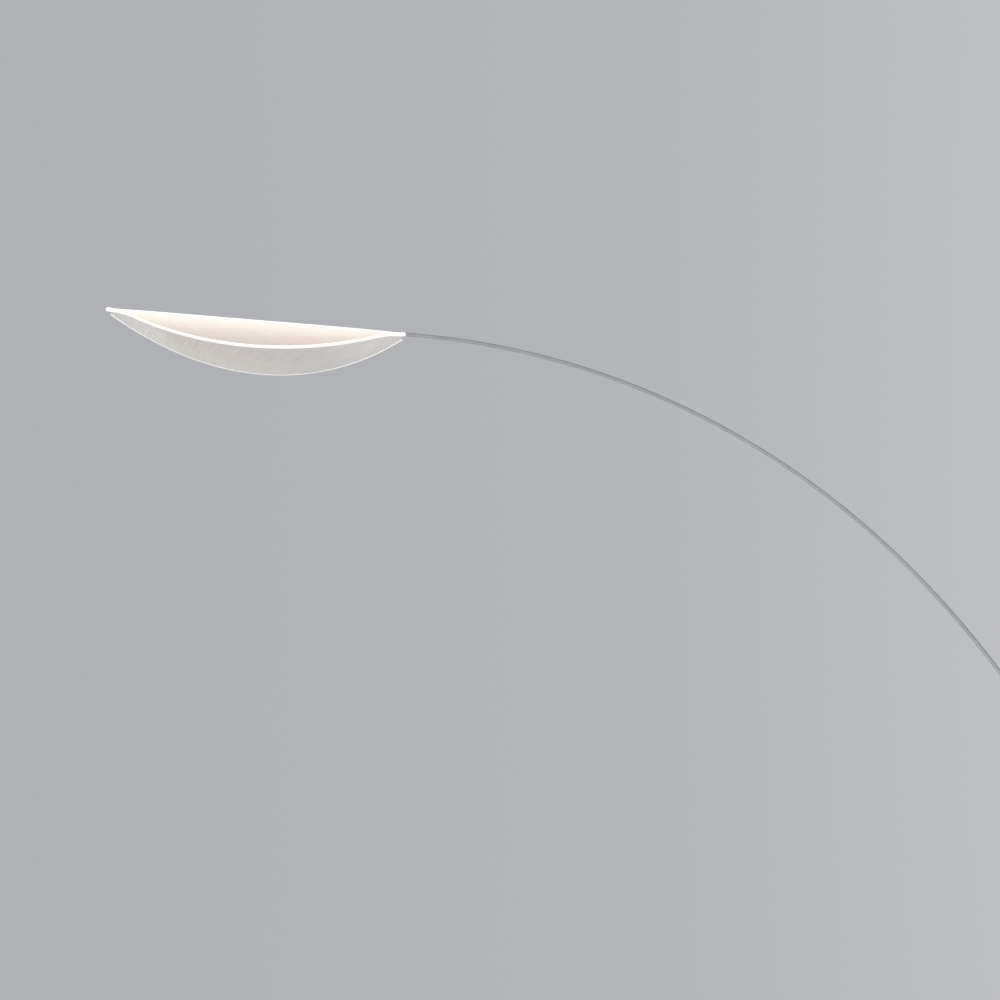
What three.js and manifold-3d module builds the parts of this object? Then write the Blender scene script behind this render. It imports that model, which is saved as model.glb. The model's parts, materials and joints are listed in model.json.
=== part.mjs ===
// Arc floor lamp with a leaf-shaped, edge-lit head.
// Millimetres, +Z up. The origin is on the floor, under the axis that the stem turns on.
// The stem rises beside the +Z axis and reaches over to -X, where the head hangs.

import * as THREE from 'three';
import { mergeVertices } from 'three/addons/utils/BufferGeometryUtils.js';
import Module from 'manifold-3d';

const wasm = await Module();
wasm.setup();

const degrees = Math.PI / 180;

// ---------------------------------------------------------------- driving dimensions

// Clearance between neighbouring pieces.
const fit = 0.25;

// Stem: a straight rise, then two arcs that bring it over to the head.
const straightRise = 300;
const lowerRadius = 1800;
const lowerTurn = 37 * degrees;
const upperRadius = 1575;
const upperTurn = 46 * degrees;
const straightTip = 21;
const lowerStemDiameter = 12;
const upperStemDiameter = 8;
const upperStemWall = 1;
const jointRise = 900;
const stemOverlap = 70;

// Head: the spine hangs in a shallow curve whose ends bend back level.
const headLength = 706;
const headDip = 61.5;
const spineStub = 12;
const spineBend = 155;
const spineDiameter = 10;
const wingHalfWidth = 125;
const wingTipHalfWidth = 12;
const wingRootHalfWidth = 14;
const wingThickness = 3;
const rimDrop = 68;
const rimRise = 62;
const rimInset = 9;
const ribWidth = 2;
const stripThickness = 0.8;
const chipGap = 0.6;
const wingPinDiameter = 1.2;
const wingPinsPerSide = 3;

// Roll joint between the stem and the head.
const rollPinDiameter = 4;
const rollPinBore = 2.5;
const rollBushLength = 14;
const rollWasherThickness = 0.8;
const rollFlangeThickness = 2;
const rollClipThickness = 1.2;
const hubTipDiameter = 6.4;
const hubTaper = 7;

// Base.
const baseDiameter = 380;
const padThickness = 3;
const padMargin = 6;
const ballastThickness = 16;
const coverThickness = 1.5;
const coverCorner = 6;
const coverLift = 2;
const coverGap = 2;
const centreHoleDiameter = 40;

// Socket that the stem turns in.
const socketHeight = 74;
const socketFlangeDiameter = 68;
const socketFlangeThickness = 6;
const socketFillet = 8;
const socketWall = 4.5;
const bushWall = 2.5;
const bushLength = 15;
const footWall = 2.75;
const footCollarHeight = 9;
const footConeHeight = 24;
const footTipWall = 1.8;
const thrustThickness = 1.5;
const nutHeight = 6;
const nutWall = 5;
const stemSeatHeight = 42;
const leadDiameter = 2.8;
const headLeadDiameter = 2;

// Screws.
const flangeScrewCount = 4;
const flangeScrewDiameter = 4.4;
const flangeScrewHead = 8.4;
const flangeScrewHeadHeight = 4;
const flangeScrewCircle = 54;
const flangeScrewGrip = 4;
const grubDiameter = 4;

// Driver, in a pocket under the ballast.
const driverStart = 50;
const driverLength = 116;
const driverWidth = 48;
const driverHeight = 10;
const driverWall = 1.5;
const lidThickness = 1.5;
const boardThickness = 1.6;
const boardLift = 0.5;

// Foot dimmer.
const dimmerDistance = 115;
const buttonDiameter = 28;
const buttonProud = 4.5;
const buttonTravel = 3;
const buttonFlange = 1.6;
const buttonFlangeHeight = 2.2;
const switchHeight = 3;
const springWire = 1.2;
const springDiameter = 17;
const springTurns = 4;

// Lead channels under the ballast, and the gland where the mains lead goes in.
const channelWidth = 14;
const channelHeight = 8;
const glandBore = 5.6;
const glandWall = 2;
const glandPlay = 0.8;

// Joint collar between the two lengths of stem.
const collarWall = 2.4;
const collarBelow = 20;
const collarAbove = 14;

// ---------------------------------------------------------------- materials

function finish(color, roughness, metalness) {
  return new THREE.MeshStandardMaterial({ color, roughness, metalness });
}

const satinSteel = finish(0x9a9b9c, 0.38, 0.9);
const darkSteel = finish(0x5d5f61, 0.5, 0.9);
const paintedSteel = finish(0x8f9193, 0.45, 0.6);
const castIron = finish(0x3c3d3f, 0.8, 0.7);
const aluminium = finish(0xb9bbbd, 0.4, 0.9);
const bronze = finish(0x9c7a45, 0.45, 0.9);
const slidePlastic = finish(0xe8e6df, 0.5, 0);
const clearAcrylic = finish(0xfaf2e8, 0.12, 0);
const opalAcrylic = finish(0xfffcf2, 0.3, 0);
const ledBoard = finish(0xf2efe4, 0.5, 0);
const rubber = finish(0x252627, 0.85, 0);
const blackPlastic = finish(0x1f2022, 0.5, 0);
const greenBoard = finish(0x1f5a3a, 0.5, 0);
const ferrite = finish(0x343230, 0.7, 0.1);
const copperLead = finish(0xd8d4cc, 0.5, 0);

// ---------------------------------------------------------------- shape helpers

// A path in the XY plane: a run of straight and round legs, measured by its own length.
class BentPath extends THREE.Curve {
  constructor(start, heading, legs, from, to) {
    super();
    this.start = start;
    this.heading = heading;
    this.legs = legs;
    this.total = legs.reduce((sum, leg) => sum + leg.length, 0);
    this.from = from ?? 0;
    this.to = to ?? this.total;
  }

  stateAt(distance) {
    let x = this.start.x;
    let y = this.start.y;
    let angle = this.heading;
    let left = distance;
    for (const leg of this.legs) {
      const last = leg === this.legs[this.legs.length - 1];
      const run = last ? left : Math.min(left, leg.length);
      const bend = leg.turn / leg.length;
      const next = angle + bend * run;
      if (bend === 0) {
        x += run * Math.cos(angle);
        y += run * Math.sin(angle);
      } else {
        x += (Math.sin(next) - Math.sin(angle)) / bend;
        y += (Math.cos(angle) - Math.cos(next)) / bend;
      }
      angle = next;
      left -= run;
      if (left <= 0) {
        break;
      }
    }
    return { x, y, angle };
  }

  section(from, to) {
    return new BentPath(this.start, this.heading, this.legs, from, to);
  }

  getPoint(t, target = new THREE.Vector3()) {
    const state = this.stateAt(this.from + t * (this.to - this.from));
    return target.set(state.x, state.y, 0);
  }

  getTangent(t, target = new THREE.Vector3()) {
    const state = this.stateAt(this.from + t * (this.to - this.from));
    return target.set(Math.cos(state.angle), Math.sin(state.angle), 0);
  }
}

function straight(length) {
  return { length, turn: 0 };
}

function arc(radius, turn) {
  return { length: radius * Math.abs(turn), turn };
}

// One closed skin: shared vertices merged, empty triangles dropped, faces pointing out.
function closed(geometry) {
  const bare = geometry.clone();
  bare.deleteAttribute('normal');
  bare.deleteAttribute('uv');
  const merged = mergeVertices(bare, 1e-4);
  const position = merged.getAttribute('position');
  const index = merged.getIndex().array;
  const kept = [];
  const a = new THREE.Vector3();
  const b = new THREE.Vector3();
  const c = new THREE.Vector3();
  let volume = 0;
  for (let i = 0; i < index.length; i += 3) {
    const corners = [index[i], index[i + 1], index[i + 2]];
    if (new Set(corners).size === 3) {
      a.fromBufferAttribute(position, corners[0]);
      b.fromBufferAttribute(position, corners[1]);
      c.fromBufferAttribute(position, corners[2]);
      volume += a.dot(b.cross(c)) / 6;
      kept.push(corners);
    }
  }
  const ordered = volume > 0 ? kept : kept.map(([p, q, r]) => [p, r, q]);
  merged.setIndex(ordered.flat());
  merged.computeVertexNormals();
  return merged;
}

function toSolid(geometry) {
  const skin = closed(geometry);
  return new wasm.Manifold(new wasm.Mesh({
    numProp: 3,
    vertProperties: new Float32Array(skin.getAttribute('position').array),
    triVerts: new Uint32Array(skin.getIndex().array),
  }));
}

function fromSolid(solid) {
  const mesh = solid.getMesh();
  const geometry = new THREE.BufferGeometry();
  geometry.setAttribute('position', new THREE.BufferAttribute(new Float32Array(mesh.vertProperties), 3));
  geometry.setIndex(new THREE.BufferAttribute(new Uint32Array(mesh.triVerts), 1));
  geometry.computeVertexNormals();
  return geometry;
}

function cut(geometry, tools) {
  let solid = toSolid(geometry);
  for (const tool of tools) {
    solid = solid.subtract(toSolid(tool));
  }
  return fromSolid(solid);
}

// A body turned about the Y axis. The outline is a list of [radius, height] points;
// one that doesn't start on the axis closes on itself.
function turned(outline, facets = 28) {
  const points = outline.map(([radius, height]) => new THREE.Vector2(radius, height));
  if (outline[0][0] > 0) {
    points.push(points[0].clone());
  }
  return closed(new THREE.LatheGeometry(points, facets));
}

function ring(inner, outer, bottom, top, facets = 28) {
  return turned([[inner, bottom], [outer, bottom], [outer, top], [inner, top]], facets);
}

function rod(radius, bottom, top, facets = 20) {
  return turned([[0, bottom], [radius, bottom], [radius, top], [0, top]], facets);
}

function box(x, y, z) {
  const geometry = new THREE.BoxGeometry(x[1] - x[0], y[1] - y[0], z[1] - z[0]);
  return geometry.translate((x[0] + x[1]) / 2, (y[0] + y[1]) / 2, (z[0] + z[1]) / 2);
}

// Points of a round stretch of an outline, from one angle to another.
function roundStretch(centreX, centreY, radius, from, to, steps) {
  const points = [];
  for (let i = 0; i <= steps; i += 1) {
    const angle = from + (to - from) * (i / steps);
    points.push([centreX + radius * Math.cos(angle), centreY + radius * Math.sin(angle)]);
  }
  return points;
}

function circleShape(radius) {
  return new THREE.Shape().absarc(0, 0, radius, 0, 2 * Math.PI);
}

function tubeShape(outer, inner) {
  const shape = circleShape(outer);
  shape.holes.push(new THREE.Path().absarc(0, 0, inner, 0, 2 * Math.PI));
  return shape;
}

// A closed body swept along a path. Half the facets of a full circle is its curveSegments.
function swept(shape, path, steps, curveSegments = 16) {
  return closed(new THREE.ExtrudeGeometry(shape, { steps, curveSegments, extrudePath: path }));
}

// A closed body through a run of rings that have the same number of points. The first half of
// each ring lies over the second half, so a strip between the halves closes either end.
function lofted(rings) {
  const size = rings[0].length;
  const vertices = rings.flat(2);
  const index = [];
  for (let i = 0; i + 1 < rings.length; i += 1) {
    for (let j = 0; j < size; j += 1) {
      const a = i * size + j;
      const b = i * size + ((j + 1) % size);
      index.push(a, b, b + size);
      index.push(a, b + size, a + size);
    }
  }
  const last = (rings.length - 1) * size;
  for (let j = 0; j + 1 < size / 2; j += 1) {
    const under = size - 1 - j;
    index.push(j, under, j + 1);
    index.push(j + 1, under, under - 1);
    index.push(last + j, last + j + 1, last + under);
    index.push(last + j + 1, last + under - 1, last + under);
  }
  const geometry = new THREE.BufferGeometry();
  geometry.setAttribute('position', new THREE.BufferAttribute(new Float32Array(vertices), 3));
  geometry.setIndex(index);
  return closed(geometry);
}

// ---------------------------------------------------------------- frames

const lamp = new THREE.Group();
lamp.name = 'arc_floor_lamp';

// In this group +Y is up and +Z faces the front, so that turned bodies stand upright.
const upright = new THREE.Group();
upright.rotation.x = Math.PI / 2;
lamp.add(upright);

function add(parent, name, geometry, material) {
  const mesh = new THREE.Mesh(geometry, material);
  mesh.name = name;
  parent.add(mesh);
  return mesh;
}

// Stands a mesh on a point of a path, with its own +Y along the path.
function standOn(mesh, path, distance) {
  const state = path.stateAt(distance);
  mesh.position.set(state.x, state.y, 0);
  mesh.rotation.z = state.angle - Math.PI / 2;
  return mesh;
}

// ---------------------------------------------------------------- heights and radii that follow

const baseRadius = baseDiameter / 2;
const ballastBottom = padThickness + fit;
const ballastTop = ballastBottom + ballastThickness;
const coverBottomFace = ballastTop + fit;
const coverTop = coverBottomFace + coverThickness;
const ballastRadius = baseRadius - coverThickness - coverGap;
const centreHoleRadius = centreHoleDiameter / 2;

const lowerStemRadius = lowerStemDiameter / 2;
const upperStemRadius = upperStemDiameter / 2;
const upperStemBore = upperStemRadius - upperStemWall;
const lowerStemBore = upperStemRadius + fit;

const footBore = lowerStemRadius + fit;
const footRadius = footBore + footWall;
const bushBore = footRadius + fit;
const bushRadius = bushBore + bushWall;
const socketBore = bushRadius + fit;
const socketRadius = socketBore + socketWall;
const socketBottom = coverTop + fit;
const socketTop = socketBottom + socketHeight;
const thrustBottom = socketTop + fit;
const collarBottom = thrustBottom + thrustThickness + fit;
const collarTop = collarBottom + footCollarHeight;
const footTop = collarTop + footConeHeight;
const frictionTop = socketBottom - fit;
const frictionBottom = frictionTop - thrustThickness;
const nutTop = frictionBottom - fit;
const nutBottom = nutTop - nutHeight;
const footBottom = nutBottom - 1;
const leadLevel = ballastBottom + leadDiameter / 2 + 2;

const stemPath = new BentPath({ x: 0, y: 0 }, Math.PI / 2, [
  straight(straightRise),
  arc(lowerRadius, lowerTurn),
  arc(upperRadius, upperTurn),
  straight(straightTip),
]);
const stemEnd = stemPath.stateAt(stemPath.total);

// ---------------------------------------------------------------- base

function screwPlaces() {
  const places = [];
  for (let i = 0; i < flangeScrewCount; i += 1) {
    const angle = ((i + 0.5) / flangeScrewCount) * 2 * Math.PI;
    const radius = flangeScrewCircle / 2;
    places.push([radius * Math.cos(angle), radius * Math.sin(angle)]);
  }
  return places;
}

const pocketTop = ballastBottom + lidThickness + driverHeight + 3 * fit;
const pocketX = [driverStart - fit, driverStart + driverLength + fit];
const pocketZ = [-driverWidth / 2 - fit, driverWidth / 2 + fit];
const channelTop = ballastBottom + channelHeight;
const below = ballastBottom - 1;
const buttonRadius = buttonDiameter / 2;
const buttonWellRadius = buttonRadius + buttonFlange + fit;

// The gland sits at the middle of the cover's straight side, and its lips stay on that side.
const sideTop = coverTop - coverCorner;
const glandHeight = (coverLift + sideTop) / 2;
const glandLip = (sideTop - coverLift) / 2 - 0.5;
const screwHeadBottom = ballastBottom + 1;
const screwHeadTop = screwHeadBottom + flangeScrewHeadHeight;

add(upright, 'floor_pad', rod(ballastRadius - padMargin, 0, padThickness, 56), rubber);

function ballast() {
  const chamfer = coverCorner - coverThickness;
  const body = turned([
    [centreHoleRadius, ballastBottom],
    [ballastRadius - 1, ballastBottom],
    [ballastRadius, ballastBottom + 1],
    [ballastRadius, ballastTop - chamfer],
    [ballastRadius - chamfer, ballastTop],
    [centreHoleRadius, ballastTop],
  ], 56);
  const inlet = [pocketX[1] - 1, baseRadius];
  const tools = [
    box(pocketX, [below, pocketTop], pocketZ),
    box([-dimmerDistance, pocketX[0] + 1], [below, channelTop], [-channelWidth / 2, channelWidth / 2]),
    box(inlet, [below, glandHeight + glandBore / 2 + glandWall + 2], [-channelWidth / 2, channelWidth / 2]),
    rod(buttonWellRadius, below, ballastTop + 1, 32).translate(-dimmerDistance, 0, 0),
  ];
  for (const [x, z] of screwPlaces()) {
    tools.push(rod(flangeScrewDiameter / 2 + fit, below, ballastTop + 1, 12).translate(x, 0, z));
    tools.push(rod(flangeScrewHead / 2 + fit, below, screwHeadTop + fit, 12).translate(x, 0, z));
  }
  return cut(body, tools);
}
add(upright, 'ballast_plate', ballast(), castIron);

function cover() {
  const shoulder = baseRadius - coverCorner;
  const centreY = coverTop - coverCorner;
  const body = turned([
    [centreHoleRadius, coverTop],
    ...roundStretch(shoulder, centreY, coverCorner, Math.PI / 2, 0, 4),
    [baseRadius, coverLift],
    [baseRadius - coverThickness, coverLift],
    ...roundStretch(shoulder, centreY, coverCorner - coverThickness, 0, Math.PI / 2, 4),
    [centreHoleRadius, coverBottomFace],
  ], 56);
  const tools = [
    rod(buttonRadius + fit, coverBottomFace - 1, coverTop + 1, 32).translate(-dimmerDistance, 0, 0),
    rod(glandBore / 2 + glandWall + fit, baseRadius - 8, baseRadius + 2, 16)
      .rotateZ(-Math.PI / 2).translate(0, glandHeight, 0),
  ];
  for (const [x, z] of screwPlaces()) {
    tools.push(rod(flangeScrewDiameter / 2 + fit, coverBottomFace - 1, coverTop + 1, 12).translate(x, 0, z));
  }
  return cut(body, tools);
}
add(upright, 'base_cover', cover(), paintedSteel);

function gland() {
  const bore = glandBore / 2;
  const body = bore + glandWall;
  const inside = baseRadius - coverThickness - glandPlay;
  const outside = baseRadius + fit;
  return turned([
    [bore, inside - 1.4],
    [glandLip, inside - 1.4],
    [glandLip, inside],
    [body, inside],
    [body, outside],
    [glandLip, outside],
    [glandLip - 0.4, outside + 2],
    [body - 0.6, outside + 4],
    [bore, outside + 4],
  ], 20).rotateZ(-Math.PI / 2).translate(0, glandHeight, 0);
}
add(upright, 'inlet_gland', gland(), rubber);

// ---------------------------------------------------------------- driver

const lidBottom = ballastBottom + fit;
const caseBottom = lidBottom + lidThickness + fit;
const caseTop = caseBottom + driverHeight - fit;
const boardBottom = caseBottom + boardLift;
const boardTop = boardBottom + boardThickness;
const insideX = [driverStart + driverWall, driverStart + driverLength - driverWall];
const insideZ = [-driverWidth / 2 + driverWall, driverWidth / 2 - driverWall];
const driverX = [driverStart, driverStart + driverLength];
const driverZ = [-driverWidth / 2, driverWidth / 2];

function driverCase() {
  const body = box(driverX, [caseBottom, caseTop], driverZ);
  const hollow = box(insideX, [caseBottom - 1, caseTop - driverWall], insideZ);
  const slotWidth = channelWidth / 2 - 1;
  const slots = box([driverX[0] - 1, driverX[1] + 1], [caseBottom - 1, caseBottom + 6], [-slotWidth, slotWidth]);
  return cut(body, [hollow, slots]);
}
add(upright, 'driver_case', driverCase(), blackPlastic);
add(upright, 'driver_lid', box(driverX, [lidBottom, lidBottom + lidThickness], driverZ), blackPlastic);

const boardX = [insideX[0] + 2, insideX[1] - 2];
const boardZ = [insideZ[0] + 1, insideZ[1] - 1];
add(upright, 'driver_board', box(boardX, [boardBottom, boardTop], boardZ), greenBoard);

const componentY = [boardTop + fit, caseTop - driverWall - fit];
const capacitorRadius = (componentY[1] - componentY[0]) / 2;
const boardMiddle = (boardX[0] + boardX[1]) / 2;
add(upright, 'driver_transformer', box([boardMiddle - 11, boardMiddle + 11], componentY, [-9, 9]), ferrite);
add(upright, 'terminal_block', box([boardX[0] + 8, boardX[0] + 18], componentY, [-8, 8]), slidePlastic);

const capacitor = add(upright, 'driver_capacitor',
  rod(capacitorRadius, -9, 9, 16), blackPlastic);
capacitor.position.set(boardX[1] - 14, componentY[0] + capacitorRadius, 0);
capacitor.rotation.x = Math.PI / 2;

// ---------------------------------------------------------------- foot dimmer

const dimmer = new THREE.Group();
dimmer.position.x = -dimmerDistance;
upright.add(dimmer);

const flangeTop = coverBottomFace - fit;
const flangeBottom = flangeTop - buttonFlangeHeight;
const switchBottom = ballastBottom + fit;
const switchTop = switchBottom + switchHeight;
const springRadius = (springDiameter - springWire) / 2;
const plungerBottom = switchTop + buttonTravel + 2 * fit;

function button() {
  const top = coverTop + buttonProud;
  return turned([
    [0, plungerBottom],
    [2.5, plungerBottom],
    [2.5, flangeBottom],
    [buttonRadius + buttonFlange, flangeBottom],
    [buttonRadius + buttonFlange, flangeTop],
    [buttonRadius, flangeTop],
    [buttonRadius, top - 1.5],
    [buttonRadius - 1.5, top],
    [buttonRadius - 4, top],
    [0, top - 1.2],
  ], 32);
}
add(dimmer, 'dimmer_button', button(), darkSteel);
add(dimmer, 'dimmer_switch', rod(buttonRadius - 1, switchBottom, switchTop, 24), blackPlastic);

class SpringCurve extends THREE.Curve {
  getPoint(t, target = new THREE.Vector3()) {
    const angle = t * springTurns * 2 * Math.PI;
    const low = switchTop + fit + springWire / 2;
    const high = flangeBottom - fit - springWire / 2;
    const height = low + t * (high - low);
    return target.set(springRadius * Math.cos(angle), height, springRadius * Math.sin(angle));
  }
}
const springSteps = springTurns * 10;
add(dimmer, 'dimmer_spring', swept(circleShape(springWire / 2), new SpringCurve(), springSteps, 3), satinSteel);

// ---------------------------------------------------------------- socket and stem foot

function socket() {
  const flangeRadius = socketFlangeDiameter / 2;
  const flangeFace = socketBottom + socketFlangeThickness;
  const body = turned([
    [socketBore, socketBottom],
    [flangeRadius, socketBottom],
    [flangeRadius, flangeFace - 1],
    [flangeRadius - 1, flangeFace],
    ...roundStretch(
      socketRadius + socketFillet, flangeFace + socketFillet, socketFillet, -Math.PI / 2, -Math.PI, 4),
    [socketRadius, socketTop - 1],
    [socketRadius - 1, socketTop],
    [socketBore, socketTop],
  ], 28);
  const holes = screwPlaces().map(([x, z]) => rod(
    flangeScrewDiameter / 2 + fit, socketBottom - 1, socketBottom + flangeScrewGrip + fit, 12,
  ).translate(x, 0, z));
  return cut(body, holes);
}
add(upright, 'base_socket', socket(), satinSteel);
add(upright, 'upper_bush', ring(bushBore, bushRadius, socketTop - bushLength, socketTop), bronze);
add(upright, 'lower_bush', ring(bushBore, bushRadius, socketBottom, socketBottom + bushLength), bronze);
add(upright, 'thrust_washer',
  ring(bushBore, socketRadius - 1, thrustBottom, thrustBottom + thrustThickness), slidePlastic);
add(upright, 'friction_washer',
  ring(bushBore, socketBore + 2, frictionBottom, frictionTop), bronze);

function flangeScrew() {
  const shankTop = socketBottom + flangeScrewGrip;
  const body = turned([
    [0, screwHeadBottom],
    [flangeScrewHead / 2, screwHeadBottom],
    [flangeScrewHead / 2, screwHeadTop],
    [flangeScrewDiameter / 2, screwHeadTop],
    [flangeScrewDiameter / 2, shankTop],
    [0, shankTop],
  ], 12);
  return cut(body, [rod(flangeScrewHead / 4, screwHeadBottom - 1, screwHeadBottom + 2.2, 6)]);
}
screwPlaces().forEach(([x, z], i) => {
  const screw = add(upright, `flange_screw_${i + 1}`, flangeScrew(), darkSteel);
  screw.position.set(x, 0, z);
});

const grubHeight = collarBottom + footCollarHeight / 2;
const grubRadius = grubDiameter / 2;

function sideways(radius, from, to, facets = 12) {
  return rod(radius, from, to, facets).rotateX(Math.PI / 2);
}

function foot() {
  const leadBore = leadDiameter / 2 + 0.8;
  const body = turned([
    [leadBore, footBottom],
    [footRadius, footBottom],
    [footRadius, collarBottom],
    [socketRadius, collarBottom],
    [socketRadius, collarTop - 1],
    [socketRadius - 1, collarTop],
    [footBore + footTipWall, footTop - 1],
    [footBore + footTipWall - 1, footTop],
    [footBore, footTop],
    [footBore, stemSeatHeight],
    [leadBore, stemSeatHeight],
  ], 28);
  const hole = sideways(grubRadius + fit, 0, -socketRadius - 2).translate(0, grubHeight, 0);
  return cut(body, [hole]);
}
add(upright, 'stem_foot', foot(), satinSteel);
add(upright, 'retaining_nut', cut(
  rod(bushBore + nutWall, nutBottom, nutTop, 6),
  [rod(bushBore, nutBottom - 1, nutTop + 1, 28)],
), darkSteel);

function grubScrew(inner, outer) {
  const body = sideways(grubRadius, -inner, -outer);
  const recess = sideways(grubRadius / 2, -outer + 1.5, -outer - 1, 6);
  return cut(body, [recess]);
}
const footGrub = add(upright, 'foot_grub_screw',
  grubScrew(footBore, socketRadius - 1), darkSteel);
footGrub.position.y = grubHeight;

// ---------------------------------------------------------------- stem

const jointAt = jointRise;
const lowerStem = stemPath.section(stemSeatHeight + fit, jointAt);
const upperStem = stemPath.section(jointAt - stemOverlap, stemPath.total);
add(upright, 'lower_stem', swept(tubeShape(lowerStemRadius, lowerStemBore), lowerStem, 26, 6), satinSteel);
add(upright, 'upper_stem', swept(tubeShape(upperStemRadius, upperStemBore), upperStem, 46, 6), satinSteel);

function collarAt() {
  const wide = lowerStemRadius + fit;
  const narrow = upperStemRadius + fit;
  const outer = wide + collarWall;
  const body = turned([
    [wide, -collarBelow],
    [outer - 1, -collarBelow],
    [outer, -collarBelow + 1],
    [outer, collarAbove - 6],
    [narrow + 1.2, collarAbove],
    [narrow, collarAbove],
    [narrow, fit],
    [wide, fit],
  ], 24);
  const hole = sideways(grubRadius + fit, -narrow, -outer - 2).translate(0, -collarBelow / 2, 0);
  return cut(body, [hole]);
}
standOn(add(upright, 'joint_collar', collarAt(), satinSteel), stemPath, jointAt);

const collarGrub = grubScrew(lowerStemRadius + fit, lowerStemRadius + collarWall);
collarGrub.translate(0, -collarBelow / 2, 0);
standOn(add(upright, 'collar_grub_screw', collarGrub, darkSteel), stemPath, jointAt);

// ---------------------------------------------------------------- roll joint, on the stem's side

const rollPinRadius = rollPinDiameter / 2;
const rollBushBore = rollPinRadius + fit;
const rollBushRadius = upperStemBore - fit;
const rollBushFrom = 1;
const rollBushTo = rollBushFrom + rollBushLength;
const rollClipFrom = rollBushTo + fit;
const rollPinEnd = rollClipFrom + rollClipThickness + fit;

standOn(add(upright, 'roll_bush', ring(rollBushBore, rollBushRadius, -rollBushTo, -rollBushFrom, 20), bronze),
  stemPath, stemPath.total);

// ---------------------------------------------------------------- leads

const stemLeadPath = stemPath.section(footBottom + 1, stemPath.total - rollPinEnd - 1.5);
add(upright, 'stem_lead', swept(circleShape(leadDiameter / 2), stemLeadPath, 60, 3), copperLead);

const leadBend = footBottom - 1 - leadLevel;
const boardEdge = boardX[0] - fit;
const baseLeadPath = new BentPath({ x: 0, y: footBottom - 1 }, -Math.PI / 2, [
  arc(leadBend, Math.PI / 2),
  straight(boardEdge - leadBend),
]);
add(upright, 'base_lead', swept(circleShape(leadDiameter / 2), baseLeadPath, 12, 3), copperLead);

const dimmerLeadX = [-dimmerDistance + buttonRadius - 1 + fit, driverX[0] - fit];
add(upright, 'dimmer_lead',
  rod(leadDiameter / 2, dimmerLeadX[0], dimmerLeadX[1], 8)
    .rotateZ(-Math.PI / 2).translate(0, leadLevel, channelWidth / 2 - leadDiameter), copperLead);

// ---------------------------------------------------------------- head

// In the head's own frame the stem comes in at the origin from +X and the tip is at -X.
const head = new THREE.Group();
head.position.set(stemEnd.x, stemEnd.y, 0);
head.rotation.z = stemEnd.angle - Math.PI;
upright.add(head);

const spineRadius = spineDiameter / 2;
const headMiddle = -headLength / 2;
const curvedHalf = headLength / 2 - spineStub;
const spineAngle = 2 * Math.atan(headDip / curvedHalf);
const hangRadius = curvedHalf / Math.sin(spineAngle) - spineBend;
const spinePath = new BentPath({ x: -headLength, y: 0 }, 0, [
  straight(spineStub),
  arc(spineBend, -spineAngle),
  arc(hangRadius, 2 * spineAngle),
  arc(spineBend, -spineAngle),
  straight(spineStub),
]);
const spineRun = spinePath.section(spineStub + fit, spinePath.total - spineStub - fit);

// The spine's pieces and the wings share their stations, so that their facets lie side by side.
const spineSteps = 40;

// The rod is round: the bar is its top, the diffuser its bottom, and the wings slide in between.
const slotHalf = wingThickness / 2 + fit;
const slotAngle = Math.asin(slotHalf / spineRadius);
const ribHalf = ribWidth / 2;
const stripInner = ribHalf + fit;
const stripOuter = stripInner + stripThickness;
const wingInner = stripOuter + chipGap;

function barShape() {
  const shape = new THREE.Shape();
  shape.absarc(0, 0, spineRadius, slotAngle, Math.PI - slotAngle);
  shape.lineTo(-ribHalf, slotHalf);
  shape.lineTo(-ribHalf, -slotHalf + fit);
  shape.lineTo(ribHalf, -slotHalf + fit);
  shape.lineTo(ribHalf, slotHalf);
  return shape;
}

function diffuserShape() {
  const shape = new THREE.Shape();
  shape.absarc(0, 0, spineRadius, Math.PI + slotAngle, 2 * Math.PI - slotAngle);
  return shape;
}

function stripShape(side) {
  const shape = new THREE.Shape();
  const top = slotHalf - fit;
  const [left, right] = side > 0 ? [stripInner, stripOuter] : [-stripOuter, -stripInner];
  shape.moveTo(left, -top);
  shape.lineTo(right, -top);
  shape.lineTo(right, top);
  shape.lineTo(left, top);
  return shape;
}

// Places of the dowels that hold the wings, as distances along the spine.
const dowelX = (wingInner + spineRadius) / 2;
const dowelRadius = wingPinDiameter / 2;
const dowelTop = Math.sqrt(spineRadius ** 2 - (dowelX + dowelRadius) ** 2) - fit;
const dowelBottom = -wingThickness / 2 + 0.4;
const dowelPlaces = [];
for (let i = 0; i < wingPinsPerSide; i += 1) {
  dowelPlaces.push(spinePath.total * ((i + 0.5) / wingPinsPerSide));
}

// Moves an upright body onto the spine, offset to one side of it.
function ontoSpine(geometry, distance, side) {
  const state = spinePath.stateAt(distance);
  return geometry.translate(0, 0, side * dowelX).rotateZ(state.angle).translate(state.x, state.y, 0);
}

function dowelHoles(side) {
  return dowelPlaces.map((distance) => ontoSpine(
    rod(dowelRadius + fit, dowelBottom - fit, spineRadius + 1, 10), distance, side));
}

const bar = swept(barShape(), spineRun, spineSteps, 4);
add(head, 'spine_bar', cut(bar, [...dowelHoles(1), ...dowelHoles(-1)]), aluminium);
add(head, 'spine_diffuser', swept(diffuserShape(), spineRun, spineSteps, 4), opalAcrylic);
add(head, 'led_strip_front', swept(stripShape(-1), spineRun, spineSteps), ledBoard);
add(head, 'led_strip_back', swept(stripShape(1), spineRun, spineSteps), ledBoard);

// One wing: its inner edge lies in the spine's slot and its rim is an arc both in plan and
// from the side. Each ring is the wing's section at one place along the spine.
const rimHalf = headLength / 2 - rimInset;
const rimRadius = (rimHalf ** 2 + rimRise ** 2) / (2 * rimRise);
const endHalfWidth = (wingTipHalfWidth + wingRootHalfWidth) / 2;
const endFlare = (wingRootHalfWidth - wingTipHalfWidth) / 2;
const narrowing = wingHalfWidth - endHalfWidth;
const planRadius = (rimHalf ** 2 + narrowing ** 2) / (2 * narrowing);

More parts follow.
